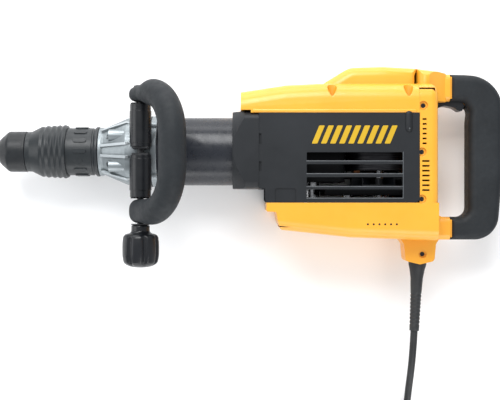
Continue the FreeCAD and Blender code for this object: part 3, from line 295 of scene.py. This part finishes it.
YELLOW = moulded("yellow_moulding", (0.770, 0.340, 0.020), (0.820, 0.378, 0.026), 0.36, grain=1500,
                 grain_depth=0.00005, coat=0.15)
PANEL = moulded("dark_moulding", (0.0085, 0.010, 0.0120), (0.0135, 0.0155, 0.0185), 0.50, specular=0.30)
# Light grey: a painted highlight along the air slot rims, and the colour of the panel rib's pin.
PIN_GREY_AND_RIM_HIGHLIGHT = moulded("grey_pin_and_painted_rim_highlight", (0.060, 0.066, 0.072), (0.080, 0.087, 0.094), 0.42)
KNOB = moulded("black_moulding", (0.005, 0.006, 0.0075), (0.009, 0.010, 0.0125), 0.30, grain=3000,
               grain_depth=0.00003, specular=0.38)
COLLAR = moulded("collar_moulding", (0.010, 0.0130, 0.0150), (0.016, 0.0195, 0.022), 0.38, specular=0.38)
PRINT = moulded("yellow_print", (0.50, 0.310, 0.014), (0.55, 0.345, 0.018), 0.42, grain=3000,
                grain_depth=0.00002, specular=0.3)
GRIP = rubber("handle_rubber", (0.009, 0.0112, 0.0135), (0.0145, 0.0175, 0.0205))
CAP = rubber("nose_rubber", (0.009, 0.0105, 0.012), (0.015, 0.017, 0.019), 0.38)
CORD = rubber("cord_jacket", (0.016, 0.017, 0.018), (0.026, 0.027, 0.028), 0.5, grain=1800)
CAST = casting()
# Painted shade: the inner castings are coloured near black so that the air slots read dark.
CASTING_IN_PAINTED_SHADE = moulded("casting_painted_shade", (0.0030, 0.0032, 0.0036), (0.0050, 0.0053, 0.0060), 0.7,
                    specular=0.08)
BARREL = coated_barrel()
STEEL = metal("ground_steel", (0.60, 0.60, 0.61), 0.24, (1, 0.1, 0.1))
DARK_STEEL = metal("blackened_steel", (0.028, 0.029, 0.032), 0.40, metallic=0.4)
BEARING = metal("bearing_steel", (0.70, 0.70, 0.72), 0.16, (0.1, 1, 0.1))
BRASS = metal("brass", (0.72, 0.50, 0.22), 0.28)
COPPER = windings()
LAMINATED = laminations()


HIDDEN = (
    (STEEL, ("tool_holder_tube", "lock_roller_upper", "lock_roller_lower", "sleeve_spring", "beat_piece",
             "cylinder", "ram", "piston", "wrist_pin", "connecting_rod", "crank_pin", "crankshaft",
             "crank_gear", "countershaft", "countershaft_gear", "armature_shaft", "trigger_pin")),
    (DARK_STEEL, ("clamp_bolt", "knob_washer")),
    (BEARING, ("gear_bearings", "armature_bearings")),
    (BRASS, ("front_bush", "knob_insert")),
    (CASTING_IN_PAINTED_SHADE, ("crankcase", "bearing_plate", "gear_cover")),
    (LAMINATED, ("stator_core", "armature_core")),
    (COPPER, ("field_coils", "commutator")),
    (KNOB, ("cooling_fan", "brush_bracket", "carbon_brushes", "ram_ring", "piston_ring", "switch_module",
            "cable_clamp")),
)


def paint_hidden_nodes():
    """The inner parts and the clamp's bolt and washer keep their CAD shape."""
    for material, names in HIDDEN:
        for name in names:
            mesh = NODES[name].data
            mesh.materials.clear()
            mesh.materials.append(material)
            mesh.polygons.foreach_set("use_smooth", [True] * len(mesh.polygons))


# ---- mesh helpers --------------------------------------------------------------------------------
CREASE_DEG = 30
FLAT_DEG = 0.6
WELD = 3e-6
CELL = 9 * MM
CELL_CLEAR = 1.3 * MM
BEVEL_DEG = 32
BEVEL_SEGMENTS = 3


def add_piece(name, mesh, material, body, slot, *replaced):
    piece = bpy.data.objects.new(name, mesh)
    bpy.context.scene.collection.objects.link(piece)
    mesh.materials.clear()
    mesh.materials.append(material)
    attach(piece, body)
    if replaced:
        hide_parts(*replaced)
    return piece


def mesh_from(name, points, faces, smooth=True):
    mesh = bpy.data.meshes.new(name)
    mesh.from_pydata([tuple(p) for p in points], [], faces)
    mesh.polygons.foreach_set("use_smooth", [smooth] * len(mesh.polygons))
    mesh.validate()
    return mesh


def crease(bm):
    """Smooth shading with hard edges wherever two faces meet at more than CREASE_DEG."""
    for face in bm.faces:
        face.smooth = True
    for edge in bm.edges:
        if len(edge.link_faces) == 2:
            edge.smooth = edge.calc_face_angle(0) < math.radians(CREASE_DEG)


def face_outwards(bm):
    bmesh.ops.recalc_face_normals(bm, faces=bm.faces)


def joined(parts):
    """One list of points and one of faces from several."""
    points, faces = [], []
    for more, their in parts:
        faces += [tuple(i + len(points) for i in face) for face in their]
        points += more
    return points, faces


def rounded(piece):
    """One level of subdivision, in the view and in the render."""
    smooth = piece.modifiers.new("round", "SUBSURF")
    smooth.levels = 1
    smooth.render_levels = 1


def smooth_step(value):
    value = max(0.0, min(1.0, value))
    return value * value * (3 - 2 * value)


def oval(half_side, half_up, squareness, steps=40):
    """Ring of (side, up) offsets: an ellipse that can be squared a little."""
    power = 1 - squareness
    ring = []
    for k in range(steps):
        c, s = math.cos(2 * math.pi * k / steps), math.sin(2 * math.pi * k / steps)
        ring.append((math.copysign(abs(c) ** power, c) * half_side,
                     math.copysign(abs(s) ** power, s) * half_up))
    return ring


def cut_levels(values, clear, spacing):
    """Levels midway in the gaps between a shape's own levels, at least spacing apart."""
    levels = []
    own = sorted(set(round(v, 5) for v in values))
    for low, high in zip(own, own[1:]):
        gap = high - low
        if gap < 2 * clear:
            continue
        count = max(1, round(gap / spacing))
        for k in range(count):
            level = low + gap * (k + 0.5) / count
            if not levels or level - levels[-1] > 0.6 * spacing:
                levels.append(level)
    return levels


def even_cells(bm):
    """Flat faces become even cells, so that an edge can be broken without slivers beside it."""
    for axis in range(3):
        normal = Vector([float(i == axis) for i in range(3)])
        for level in cut_levels([v.co[axis] for v in bm.verts], CELL_CLEAR, CELL):
            geometry = bm.verts[:] + bm.edges[:] + bm.faces[:]
            cut = bmesh.ops.bisect_plane(bm, geom=geometry, dist=1e-7, plane_co=normal * level,
                                         plane_no=normal)
            for item in cut["geom_cut"]:
                if isinstance(item, bmesh.types.BMEdge):
                    item.seam = True
    bmesh.ops.dissolve_limit(bm, angle_limit=math.radians(FLAT_DEG), verts=bm.verts, edges=bm.edges,
                             delimit={"SEAM"})


def refined(node, material, body, slot, width):
    """The CAD shape with clean creases; with a width, in mm, its edges are broken too."""
    mesh = NODES[node].data.copy()
    mesh.name = node + "_fine"
    bm = bmesh.new()
    bm.from_mesh(mesh)
    bmesh.ops.remove_doubles(bm, verts=bm.verts, dist=WELD)
    if width:
        even_cells(bm)
    else:
        bmesh.ops.dissolve_limit(bm, angle_limit=math.radians(FLAT_DEG), verts=bm.verts, edges=bm.edges)
    crease(bm)
    bm.to_mesh(mesh)
    bm.free()
    if "custom_normal" in mesh.attributes:
        mesh.attributes.remove(mesh.attributes["custom_normal"])
    piece = add_piece(node + "_fine", mesh, material, body, slot, node)
    if not width:
        return
    bevel = piece.modifiers.new("edges", "BEVEL")
    bevel.width = width * MM
    bevel.segments = BEVEL_SEGMENTS
    bevel.limit_method = "ANGLE"
    bevel.angle_limit = math.radians(BEVEL_DEG)
    bevel.use_clamp_overlap = False
    bevel.miter_outer = "MITER_ARC"
    bevel.harden_normals = True


def skin_faces(rings, count):
    """Faces of a skin through rings of count points each, with a cap on both ends."""
    faces = []
    for ring in range(rings - 1):
        for k in range(count):
            following = (k + 1) % count
            faces.append((ring * count + k, ring * count + following, (ring + 1) * count + following,
                          (ring + 1) * count + k))
    faces.append(tuple(range(count - 1, -1, -1)))
    faces.append(tuple(range((rings - 1) * count, rings * count)))
    return faces


def tube_along(centres, frames, sections):
    """Closed skin through rings: frames are (side, up) vectors, sections lists of (side, up) in mm."""
    points = []
    for centre, (side, up), section in zip(centres, frames, sections):
        points += [centre + side * (a * MM) + up * (b * MM) for a, b in section]
    return points, skin_faces(len(centres), len(sections[0]))


def turned(axis_start, axis_end, profile, steps=64, wave=None):
    """Skin turned about a line. profile is (distance, radius) in mm; wave(turn, distance) scales a radius."""
    axis = (axis_end - axis_start).normalized()
    side = axis.orthogonal().normalized()
    up = axis.cross(side)
    points = []
    for distance, radius in profile:
        for k in range(steps):
            turn = 2 * math.pi * k / steps
            r = radius * (wave(turn, distance) if wave else 1.0) * MM
            points.append(axis_start + axis * (distance * MM) + side * (r * math.cos(turn))
                          + up * (r * math.sin(turn)))
    return points, skin_faces(len(profile), steps)


def smooth_profile(corners, radius, steps=4):
    """Corners of a profile rounded by short arcs, as (distance, radius) pairs."""
    made = [corners[0]]
    for before, corner, after in zip(corners, corners[1:], corners[2:]):
        here = Vector(corner)
        back = Vector(before) - here
        ahead = Vector(after) - here
        reach = min(radius, 0.45 * back.length, 0.45 * ahead.length)
        start = here + back.normalized() * reach
        end = here + ahead.normalized() * reach
        for k in range(steps + 1):
            t = k / steps
            made.append(tuple(start * (1 - t) ** 2 + here * (2 * t * (1 - t)) + end * t ** 2))
    made.append(corners[-1])
    return made


# ---- cord ----------------------------------------------------------------------------------------
# Lengths in millimetres, CLIMB and LAST_TURN in turns. The cord's centreline runs in layers of a flat
# spiral inside the CAD coil.
CORD_R = 4.5
COIL_LOW, COIL_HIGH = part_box("cord_coil")
COIL_X = (COIL_LOW.x + COIL_HIGH.x) / 2 / MM
COIL_Y = (COIL_LOW.y + COIL_HIGH.y) / 2 / MM
COIL_CLEAR = 0.8
COIL_OUT = (COIL_HIGH.x - COIL_LOW.x) / 2 / MM - CORD_R - COIL_CLEAR
COIL_IN = 33.0
COIL_FOOT = 0.1
LAYER = 9.0
LAYERS = round((COIL_HIGH.z / MM - COIL_FOOT) / LAYER)
PITCH = 9.25
TURN_POINTS = 16
CLIMB = 0.5
BULGE = 3.5
LAST_TURN = 0.3
OFF_FLOOR = 0.2
# The curve runs a little inside its control points, so it is shorter than they are.
CURVE_SHARE = 0.985
LEAD = [(203.41, -161.7, 56.0), (201.9, -190.0, 55.2), (200.7, -216.0, 46.0), (200.2, -240.0, 31.0),
        (200.6, -263.0, 14.5), (201.4, -287.0, 5.2), (201.6, -309.0, 4.7), (201.0, -331.0, 4.7)]


def coil_points():
    """Layers of a flat spiral, wound inwards and outwards by turns; the cord climbs where it turns back."""
    spiral = (COIL_OUT - COIL_IN) / PITCH - 0.5
    outset = 1 / math.cos(math.pi / TURN_POINTS)
    made = []
    turn = 0.0
    step = 1.0 / TURN_POINTS
    for layer in range(LAYERS):
        inward = layer % 2 == 0
        steps = round((spiral + (LAST_TURN if layer == LAYERS - 1 else 0)) * TURN_POINTS)
        for k in range(steps):
            run = (0 if layer == 0 else 0.5 * PITCH) + k * step * PITCH
            radius = COIL_OUT - run if inward else COIL_IN + run
            made.append((turn, radius, layer * LAYER))
            turn += step
        if layer < LAYERS - 1:
            for k in range(round(CLIMB * TURN_POINTS)):
                share = k * step / CLIMB
                bulge = math.sin(math.pi * share) * BULGE
                back = 0.5 * PITCH * (1 - share)
                edge = COIL_IN + back - bulge if inward else COIL_OUT - back + bulge
                edge = max(COIL_IN, min(COIL_OUT, edge))
                made.append((turn, edge, (layer + smooth_step(share)) * LAYER))
                turn += step
    points = []
    for turn, radius, height in made:
        angle = -2 * math.pi * turn
        points.append((COIL_X + radius * outset * math.cos(angle),
                       COIL_Y + radius * outset * math.sin(angle), CORD_R + OFF_FLOOR + height))
    return points


def make_cord():
    plug_low, plug_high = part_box("cord_plug")
    plug_y = (plug_low.y + plug_high.y) / 2 / MM
    plug_z = (plug_low.z + plug_high.z) / 2 / MM
    neck_x = plug_high.x / MM
    to_plug = [(neck_x + 24, plug_y + 16, plug_z - 6), (neck_x + 13, plug_y + 2.5, plug_z - 1),
               (neck_x - 1, plug_y, plug_z)]
    points = LEAD + coil_points() + to_plug
    curve = bpy.data.curves.new("mains_cord", "CURVE")
    curve.dimensions = "3D"
    spline = curve.splines.new("NURBS")
    spline.points.add(len(points) - 1)
    for point, place in zip(spline.points, points):
        point.co = (place[0] * MM, place[1] * MM, place[2] * MM, 1)
    spline.order_u = 3
    spline.use_endpoint_u = True
    spline.resolution_u = 4
    curve.bevel_depth = CORD_R * MM
    curve.bevel_resolution = 4
    curve.use_fill_caps = True
    curve.materials.append(CORD)
    cord = bpy.data.objects.new("mains_cord", curve)
    bpy.context.scene.collection.objects.link(cord)
    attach(cord, "frame")
    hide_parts("cord_lead", "cord_coil")
    polygon = sum((Vector(b) - Vector(a)).length for a, b in zip(points, points[1:]))
    return cord, polygon * MM * CURVE_SHARE


def make_tie():
    """Strap round the bundle of turns, on the side of the coil that faces the tool."""
    turn = math.radians(100)
    outward = Vector((math.cos(turn), math.sin(turn), 0))
    along = Vector((-math.sin(turn), math.cos(turn), 0))
    centre = Vector((COIL_X, COIL_Y, 0)) * MM + outward * ((COIL_OUT + COIL_IN) / 2 * MM)
    half = (COIL_OUT - COIL_IN) / 2 + CORD_R + 1.0
    top = COIL_HIGH.z / MM + 0.6
    middle = top / 2
    corner = 5
    seat = 5.1
    half_strap = 6
    thickness = 1.0
    outline = []
    for sx, sz, start in ((1, 1, 0), (-1, 1, 90), (-1, -1, 180), (1, -1, 270)):
        for k in range(5):
            a = math.radians(start + 22.5 * k)
            outline.append((sx * (half - corner) + corner * math.cos(a),
                            middle + sz * (middle - seat) + corner * math.sin(a)))
    points, faces = [], []
    rings = ((-half_strap, 0), (-half_strap, thickness), (half_strap, thickness), (half_strap, 0))
    for shift, grow in rings:
        for a, z in outline:
            scale_a = (abs(a) + grow) / abs(a)
            lift = grow if z > middle else 0
            points.append(centre + outward * (a * scale_a * MM) + along * (shift * MM)
                          + Vector((0, 0, (z + lift) * MM)))
    count = len(outline)
    for ring in range(len(rings)):
        after = (ring + 1) % len(rings)
        for k in range(count):
            following = (k + 1) % count
            faces.append((ring * count + k, ring * count + following, after * count + following,
                          after * count + k))
    return add_piece("cord_tie", mesh_from("cord_tie", points, faces), KNOB, "frame", "black_plastic")


def make_plug():
    """Moulded two-pin plug: a waisted body that narrows into its neck, and two round pins."""
    low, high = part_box("cord_plug")
    y = (low.y + high.y) / 2 / MM
    z = (low.z + high.z) / 2 / MM
    pin_x = low.x / MM
    face_x = pin_x + 19
    neck_x = high.x / MM
    half_gap = 9.5
    squareness = 0.38
    stations = ((face_x, 13.0, 9.0), (face_x + 1.2, 15.6, 11.2), (face_x + 9, 16.6, 11.8),
                (face_x + 20, 14.0, 10.6), (face_x + 30, 13.0, 10.0), (face_x + 36, 9.6, 9.2),
                (face_x + 41, 8.2, 8.2), (neck_x, 6.4, 6.4))
    centres = [Vector((x, y, z)) * MM for x, wide, tall in stations]
    frames = [(Vector((0, 1, 0)), Vector((0, 0, 1)))] * len(stations)
    sections = [oval(wide, tall, squareness) for x, wide, tall in stations]
    parts = [tube_along(centres, frames, sections)]
    for side in (-1, 1):
        start = Vector((pin_x, y + side * half_gap, z)) * MM
        end = Vector((face_x + 1, y + side * half_gap, z)) * MM
        parts.append(turned(start, end, ((0, 0.9), (0.5, 1.9), (1.4, 2.3), (20, 2.3)), 20))
    mesh = mesh_from("mains_plug", *joined(parts))
    piece = add_piece("mains_plug", mesh, CORD, "frame", "cord_rubber", "cord_plug")
    mesh.materials.append(BRASS)
    for polygon in mesh.polygons:
        if polygon.center.x < (face_x - 0.5) * MM:
            polygon.material_index = 1
    rounded(piece)
    return piece


def make_strain_relief():
    """Tapered rubber guard with shallow rings, held in the neck; it leans as the cord leaves it."""
    low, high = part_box("strain_relief")
    lean = math.radians(2.8)
    axis = Vector((-math.sin(lean), -math.cos(lean), 0))
    length = (high.y - low.y) / MM
    top = Vector(LEAD[0]) * MM - axis * (length * MM)
    profile = [(0.4, 13.2), (3.4, 13.2), (3.5, 11.0), (6.2, 11.0), (9, 10.6), (14, 9.25), (24, 7.75),
               (40, 6.9)]
    groove = 0.55
    for k in range(9):
        start = 43 + k * 4.6
        radius = 6.75 - 0.085 * k
        profile += [(start, radius), (start + 0.8, radius - groove), (start + 1.6, radius - groove),
                    (start + 2.4, radius)]
    reach = length - 0.3
    profile += [(reach - 0.6, 5.95), (reach, 5.3)]
    mesh = mesh_from("cord_guard", *turned(top, top + axis, profile, 48))
    return add_piece("cord_guard", mesh, CORD, "frame", "cord_rubber", "strain_relief")


cord, cord_length = make_cord()
guard = make_strain_relief()
plug = make_plug()
tie = make_tie()


# ---- floor ---------------------------------------------------------------------------------------
def make_floor():
    f = Finish("studio_floor", 0.9, specular=0.05)
    f.colour(f.mixed(f.noise(3, 2), (0.90, 0.90, 0.90), (0.93, 0.93, 0.93)))
    reach = 6.0
    corners = [(-reach, -reach, 0), (reach, -reach, 0), (reach, reach, 0), (-reach, reach, 0)]
    mesh = mesh_from("floor", corners, [(0, 1, 2, 3)], smooth=False)
    mesh.materials.append(f.material)
    floor = bpy.data.objects.new("floor", mesh)
    bpy.context.scene.collection.objects.link(floor)


# ---- knob and loop handle ------------------------------------------------------------------------
PIVOT_X = 180.5
PIVOT_Z = 57.0


def make_knob():
    """Seven-lobed knob with a domed end and a round neck."""
    base = tool(PIVOT_X, -89.4, PIVOT_Z)
    corners = [(0, 6.0), (0.1, 10.9), (7.5, 10.9), (9.5, 12.6), (11.2, 18.6), (14.0, 21.0), (22, 21.9),
               (36, 21.9), (44, 20.4), (46.6, 17.6), (48.6, 13.5), (49.8, 8.0), (50.3, 0.6)]
    profile = smooth_profile(corners, 2.6, 5)
    lobe_count = 7
    lobe_depth = 0.13

    def lobes(turn, distance):
        fade = max(0.0, min(1.0, (distance - 10.5) / 5)) * max(0.0, min(1.0, (50.2 - distance) / 5.5))
        groove = max(0.0, math.cos(lobe_count * turn)) ** 2.2
        return 1 - lobe_depth * fade * groove

    mesh = mesh_from("knob_body", *turned(base, base - Vector((0, 1, 0)), profile, 28 * lobe_count, lobes))
    add_piece("knob_body", mesh, KNOB, "knob", "black_plastic", "clamp_knob")


def loop_centres(steps):
    """Centreline of the loop handle in its own plane, as (out from the pivot, along the bolt)."""
    out, bend, top, low = 77.0, 52.0, 65.2, -73.0
    straight = out - bend
    legs = (("line", (0, top), (straight, top)), ("arc", (straight, top - bend), 90, 0),
            ("line", (out, top - bend), (out, low + bend)), ("arc", (straight, low + bend), 0, -90),
            ("line", (straight, low), (0, low)))
    made = []
    for leg in legs:
        if leg[0] == "line":
            (a0, b0), (a1, b1) = leg[1], leg[2]
            count = max(2, round(math.hypot(a1 - a0, b1 - b0) / 4))
            made += [(a0 + (a1 - a0) * k / count, b0 + (b1 - b0) * k / count) for k in range(count)]
        else:
            (a0, b0), start, end = leg[1:]
            for k in range(steps):
                a = math.radians(start + (end - start) * k / steps)
                made.append((a0 + bend * math.cos(a), b0 + bend * math.sin(a)))
    made.append((0, low))
    return made


def make_loop_handle():
    """Rubber-covered loop: fullest across the top, its arms closed round the two pivot bosses."""
    tilt = math.radians(33.5)
    out_dir = Vector((math.sin(tilt), 0, math.cos(tilt)))
    plane_normal = out_dir.cross(Vector((0, 1, 0)))
    line = loop_centres(22)
    lengths = [0.0]
    for (a0, b0), (a1, b1) in zip(line, line[1:]):
        lengths.append(lengths[-1] + math.hypot(a1 - a0, b1 - b0))
    total = lengths[-1]
    boss_r = 13.4
    full_r = 15.8
    boss_halves = (9.6, 14.4)
    dome_turns = (88, 78, 62, 45, 28, 12)
    rings, frames, sections = [], [], []

    def add_ring(a, b, heading, half_side, half_up, squareness):
        across = heading.cross(plane_normal).normalized()
        rings.append(tool(PIVOT_X, 0, PIVOT_Z) + out_dir * (a * MM) + Vector((0, b * MM, 0)))
        frames.append((across, heading.cross(across)))
        sections.append(oval(half_side, half_up, squareness))

    def add_dome(b, heading, half_side, turns):
        for turn in turns:
            shrink = math.cos(math.radians(turn)) ** 0.7
            below = -boss_r * math.sin(math.radians(turn))
            add_ring(below, b, heading, half_side * shrink, boss_r * shrink, 0.22)

    add_dome(line[0][1], out_dir, boss_halves[0], dome_turns)
    for i, ((a, b), run) in enumerate(zip(line, lengths)):
        before, after = line[max(i - 1, 0)], line[min(i + 1, len(line) - 1)]
        heading = (out_dir * (after[0] - before[0]) + Vector((0, after[1] - before[1], 0))).normalized()
        from_end = min(run, total - run)
        boss_half = boss_halves[0] if run < total / 2 else boss_halves[1]
        grown = smooth_step((from_end - 10) / 22)
        add_ring(a, b, heading, boss_half + (full_r - boss_half) * grown, boss_r + (full_r - boss_r) * grown,
                 0.22 * (1 - grown))
    add_dome(line[-1][1], -out_dir, boss_halves[1], dome_turns[::-1])
    mesh = mesh_from("loop_handle_rubber", *tube_along(rings, frames, sections))
    rounded(add_piece("loop_handle_rubber", mesh, GRIP, "side_loop", "rubber", "loop_grip", "loop_frame"))


# ---- badge ---------------------------------------------------------------------------------------
def make_badge(side):
    """Slanted bars on the panel: side 1 prints them on the upper face, -1 sets them just inside the lower."""
    x0, x1 = 381.0, 487.0
    y0, y1 = 7.0, 28.5
    slant = 9.0
    bars = 9
    step = (x1 - x0 - slant) / bars
    width = step * 0.62
    offsets = (0.01, 0.30) if side > 0 else (-0.30, -0.02)
    z_in, z_out = [side * (FACE_Z + offset) for offset in offsets]
    points, faces = [], []
    for k in range(bars):
        left = x0 + k * step + (step - width) / 2
        outline = [(left, y0), (left + width, y0), (left + width + slant, y1), (left + slant, y1)]
        start = len(points)
        points += [tool(x, y, z_in) for x, y in outline] + [tool(x, y, z_out) for x, y in outline]
        faces += [(start, start + 1, start + 2, start + 3), (start + 4, start + 5, start + 6, start + 7)]
        faces += [(start + i, start + (i + 1) % 4, start + 4 + (i + 1) % 4, start + 4 + i) for i in range(4)]
    mesh = mesh_from("panel_stripes", points, faces, smooth=False)
    bm = bmesh.new()
    bm.from_mesh(mesh)
    face_outwards(bm)
    corners = [e for e in bm.edges if abs((e.verts[0].co - e.verts[1].co).z) > 1e-5]
    bmesh.ops.bevel(bm, geom=corners, offset=1.0 * MM, segments=4, affect="EDGES", profile=0.5)
    bm.to_mesh(mesh)
    bm.free()
    name = "panel_stripes_%s" % ("upper" if side > 0 else "lower")
    add_piece(name, mesh, PRINT, "frame", "yellow_plastic")


# ---- small mouldings on the upper side -----------------------------------------------------------
def bead(start, end, half_width, height):
    """Half-round bead with round ends, from start to end on the upper face, as points and faces."""
    (x0, y0), (x1, y1) = start, end
    along = Vector((x1 - x0, y1 - y0, 0)).normalized()
    across = Vector((-along.y, along.x, 0))
    length = math.hypot(x1 - x0, y1 - y0)
    stations = []
    for k in range(7):
        turn = math.pi / 2 * k / 6
        stations.append((half_width * (1 - math.cos(turn)), math.sin(turn)))
    stations += [(length - run, size) for run, size in reversed(stations)]
    arc = [math.pi * k / 10 for k in range(11)]
    points, faces = [], []
    for run, size in stations:
        for turn in arc:
            flat = Vector((x0, y0, 0)) + along * run + across * (half_width * size * math.cos(turn))
            points.append(tool(flat.x, flat.y, FACE_Z + height * size * math.sin(turn)))
    count = len(arc)
    for ring in range(len(stations) - 1):
        for k in range(count - 1):
            corner = ring * count + k
            faces.append((corner, corner + 1, corner + count + 1, corner + count))
    return points, faces


def add_beads(name, material, slot, beads):
    mesh = mesh_from(name, *joined(beads))
    bm = bmesh.new()
    bm.from_mesh(mesh)
    face_outwards(bm)
    bm.to_mesh(mesh)
    bm.free()
    add_piece(name, mesh, material, "frame", slot)


def make_mouldings():
    """Rims of the air slots coloured as a painted highlight, the rib under the cover and its pin, the cover's
    bead, and black discs of painted shade for the belly's vents.
    """
    slots_x = (376.6, 491.6)
    slot_floors = (-13.0, -28.1, -43.3, -57.1)
    # The rims' light grey is a painted highlight along the top of each rib.
    rims = [bead((slots_x[0], y - 0.55), (slots_x[1], y - 0.55), 0.55, 0.5) for y in slot_floors]
    rims.append(bead((slots_x[1], slot_floors[-1] - 0.5), (slots_x[1], -2.6), 0.5, 0.4))
    add_beads("air_slot_rims", PIN_GREY_AND_RIM_HIGHLIGHT, "dark_plastic", rims)
    add_beads("panel_rib", PANEL, "dark_plastic", [bead((498.3, 20.7), (498.3, 46.0), 4.2, 2.6)])
    add_beads("panel_rib_pin", PIN_GREY_AND_RIM_HIGHLIGHT, "dark_plastic", [bead((497.3, 24.9), (500.3, 24.9), 1.5, 3.4)])
    add_beads("cover_bead", YELLOW, "yellow_plastic", [bead((313.0, 46.1), (508.0, 46.1), 1.9, 1.0)])
    spacing = 6.86
    # Painted shade: the belly's vent holes are flat black discs standing just proud of the face.
    vents = [bead((448.4 + spacing * k, -88.6), (450.8 + spacing * k, -88.6), 1.25, 0.12) for k in range(6)]
    add_beads("belly_vent_painted_shade", KNOB, "black_plastic", vents)


# ---- carried-over shapes -------------------------------------------------------------------------
REFINED = (
    # node, material, body, slot, width of the broken edges in mm
    ("dust_cap", CAP, "tool_holder", "rubber", 0),
    ("locking_sleeve", COLLAR, "sleeve", "black_plastic", 0),
    ("index_collar", COLLAR, "tool_holder", "black_plastic", 0),
    ("nose_casting", CAST, "frame", "cast_metal", 0),
    ("nose_screws", DARK_STEEL, "frame", "screw_steel", 0),
    ("barrel_tube", BARREL, "frame", "barrel_finish", 0),
    ("collar_cover", PANEL, "frame", "dark_plastic", 0),
    ("motor_housing", PANEL, "frame", "dark_plastic", 0),
    ("top_cover", YELLOW, "frame", "yellow_plastic", 0),
    ("rear_housing_left", YELLOW, "frame", "yellow_plastic", 0),
    ("rear_housing_right", YELLOW, "frame", "yellow_plastic", 0),
    ("housing_screws", DARK_STEEL, "frame", "screw_steel", 0),
    ("rear_grip", GRIP, "frame", "rubber", 0.6),
    ("trigger", KNOB, "trigger", "black_plastic", 0.6),
    ("clamp_band", DARK_STEEL, "side_clamp", "steel", 0),
    ("clamp_jaws", KNOB, "side_clamp", "black_plastic", 0),
)


def make_refined():
    for row in REFINED:
        refined(*row)


make_lights()
make_floor()
paint_hidden_nodes()
make_refined()
make_knob()
make_loop_handle()
make_mouldings()
make_badge(1)
make_badge(-1)
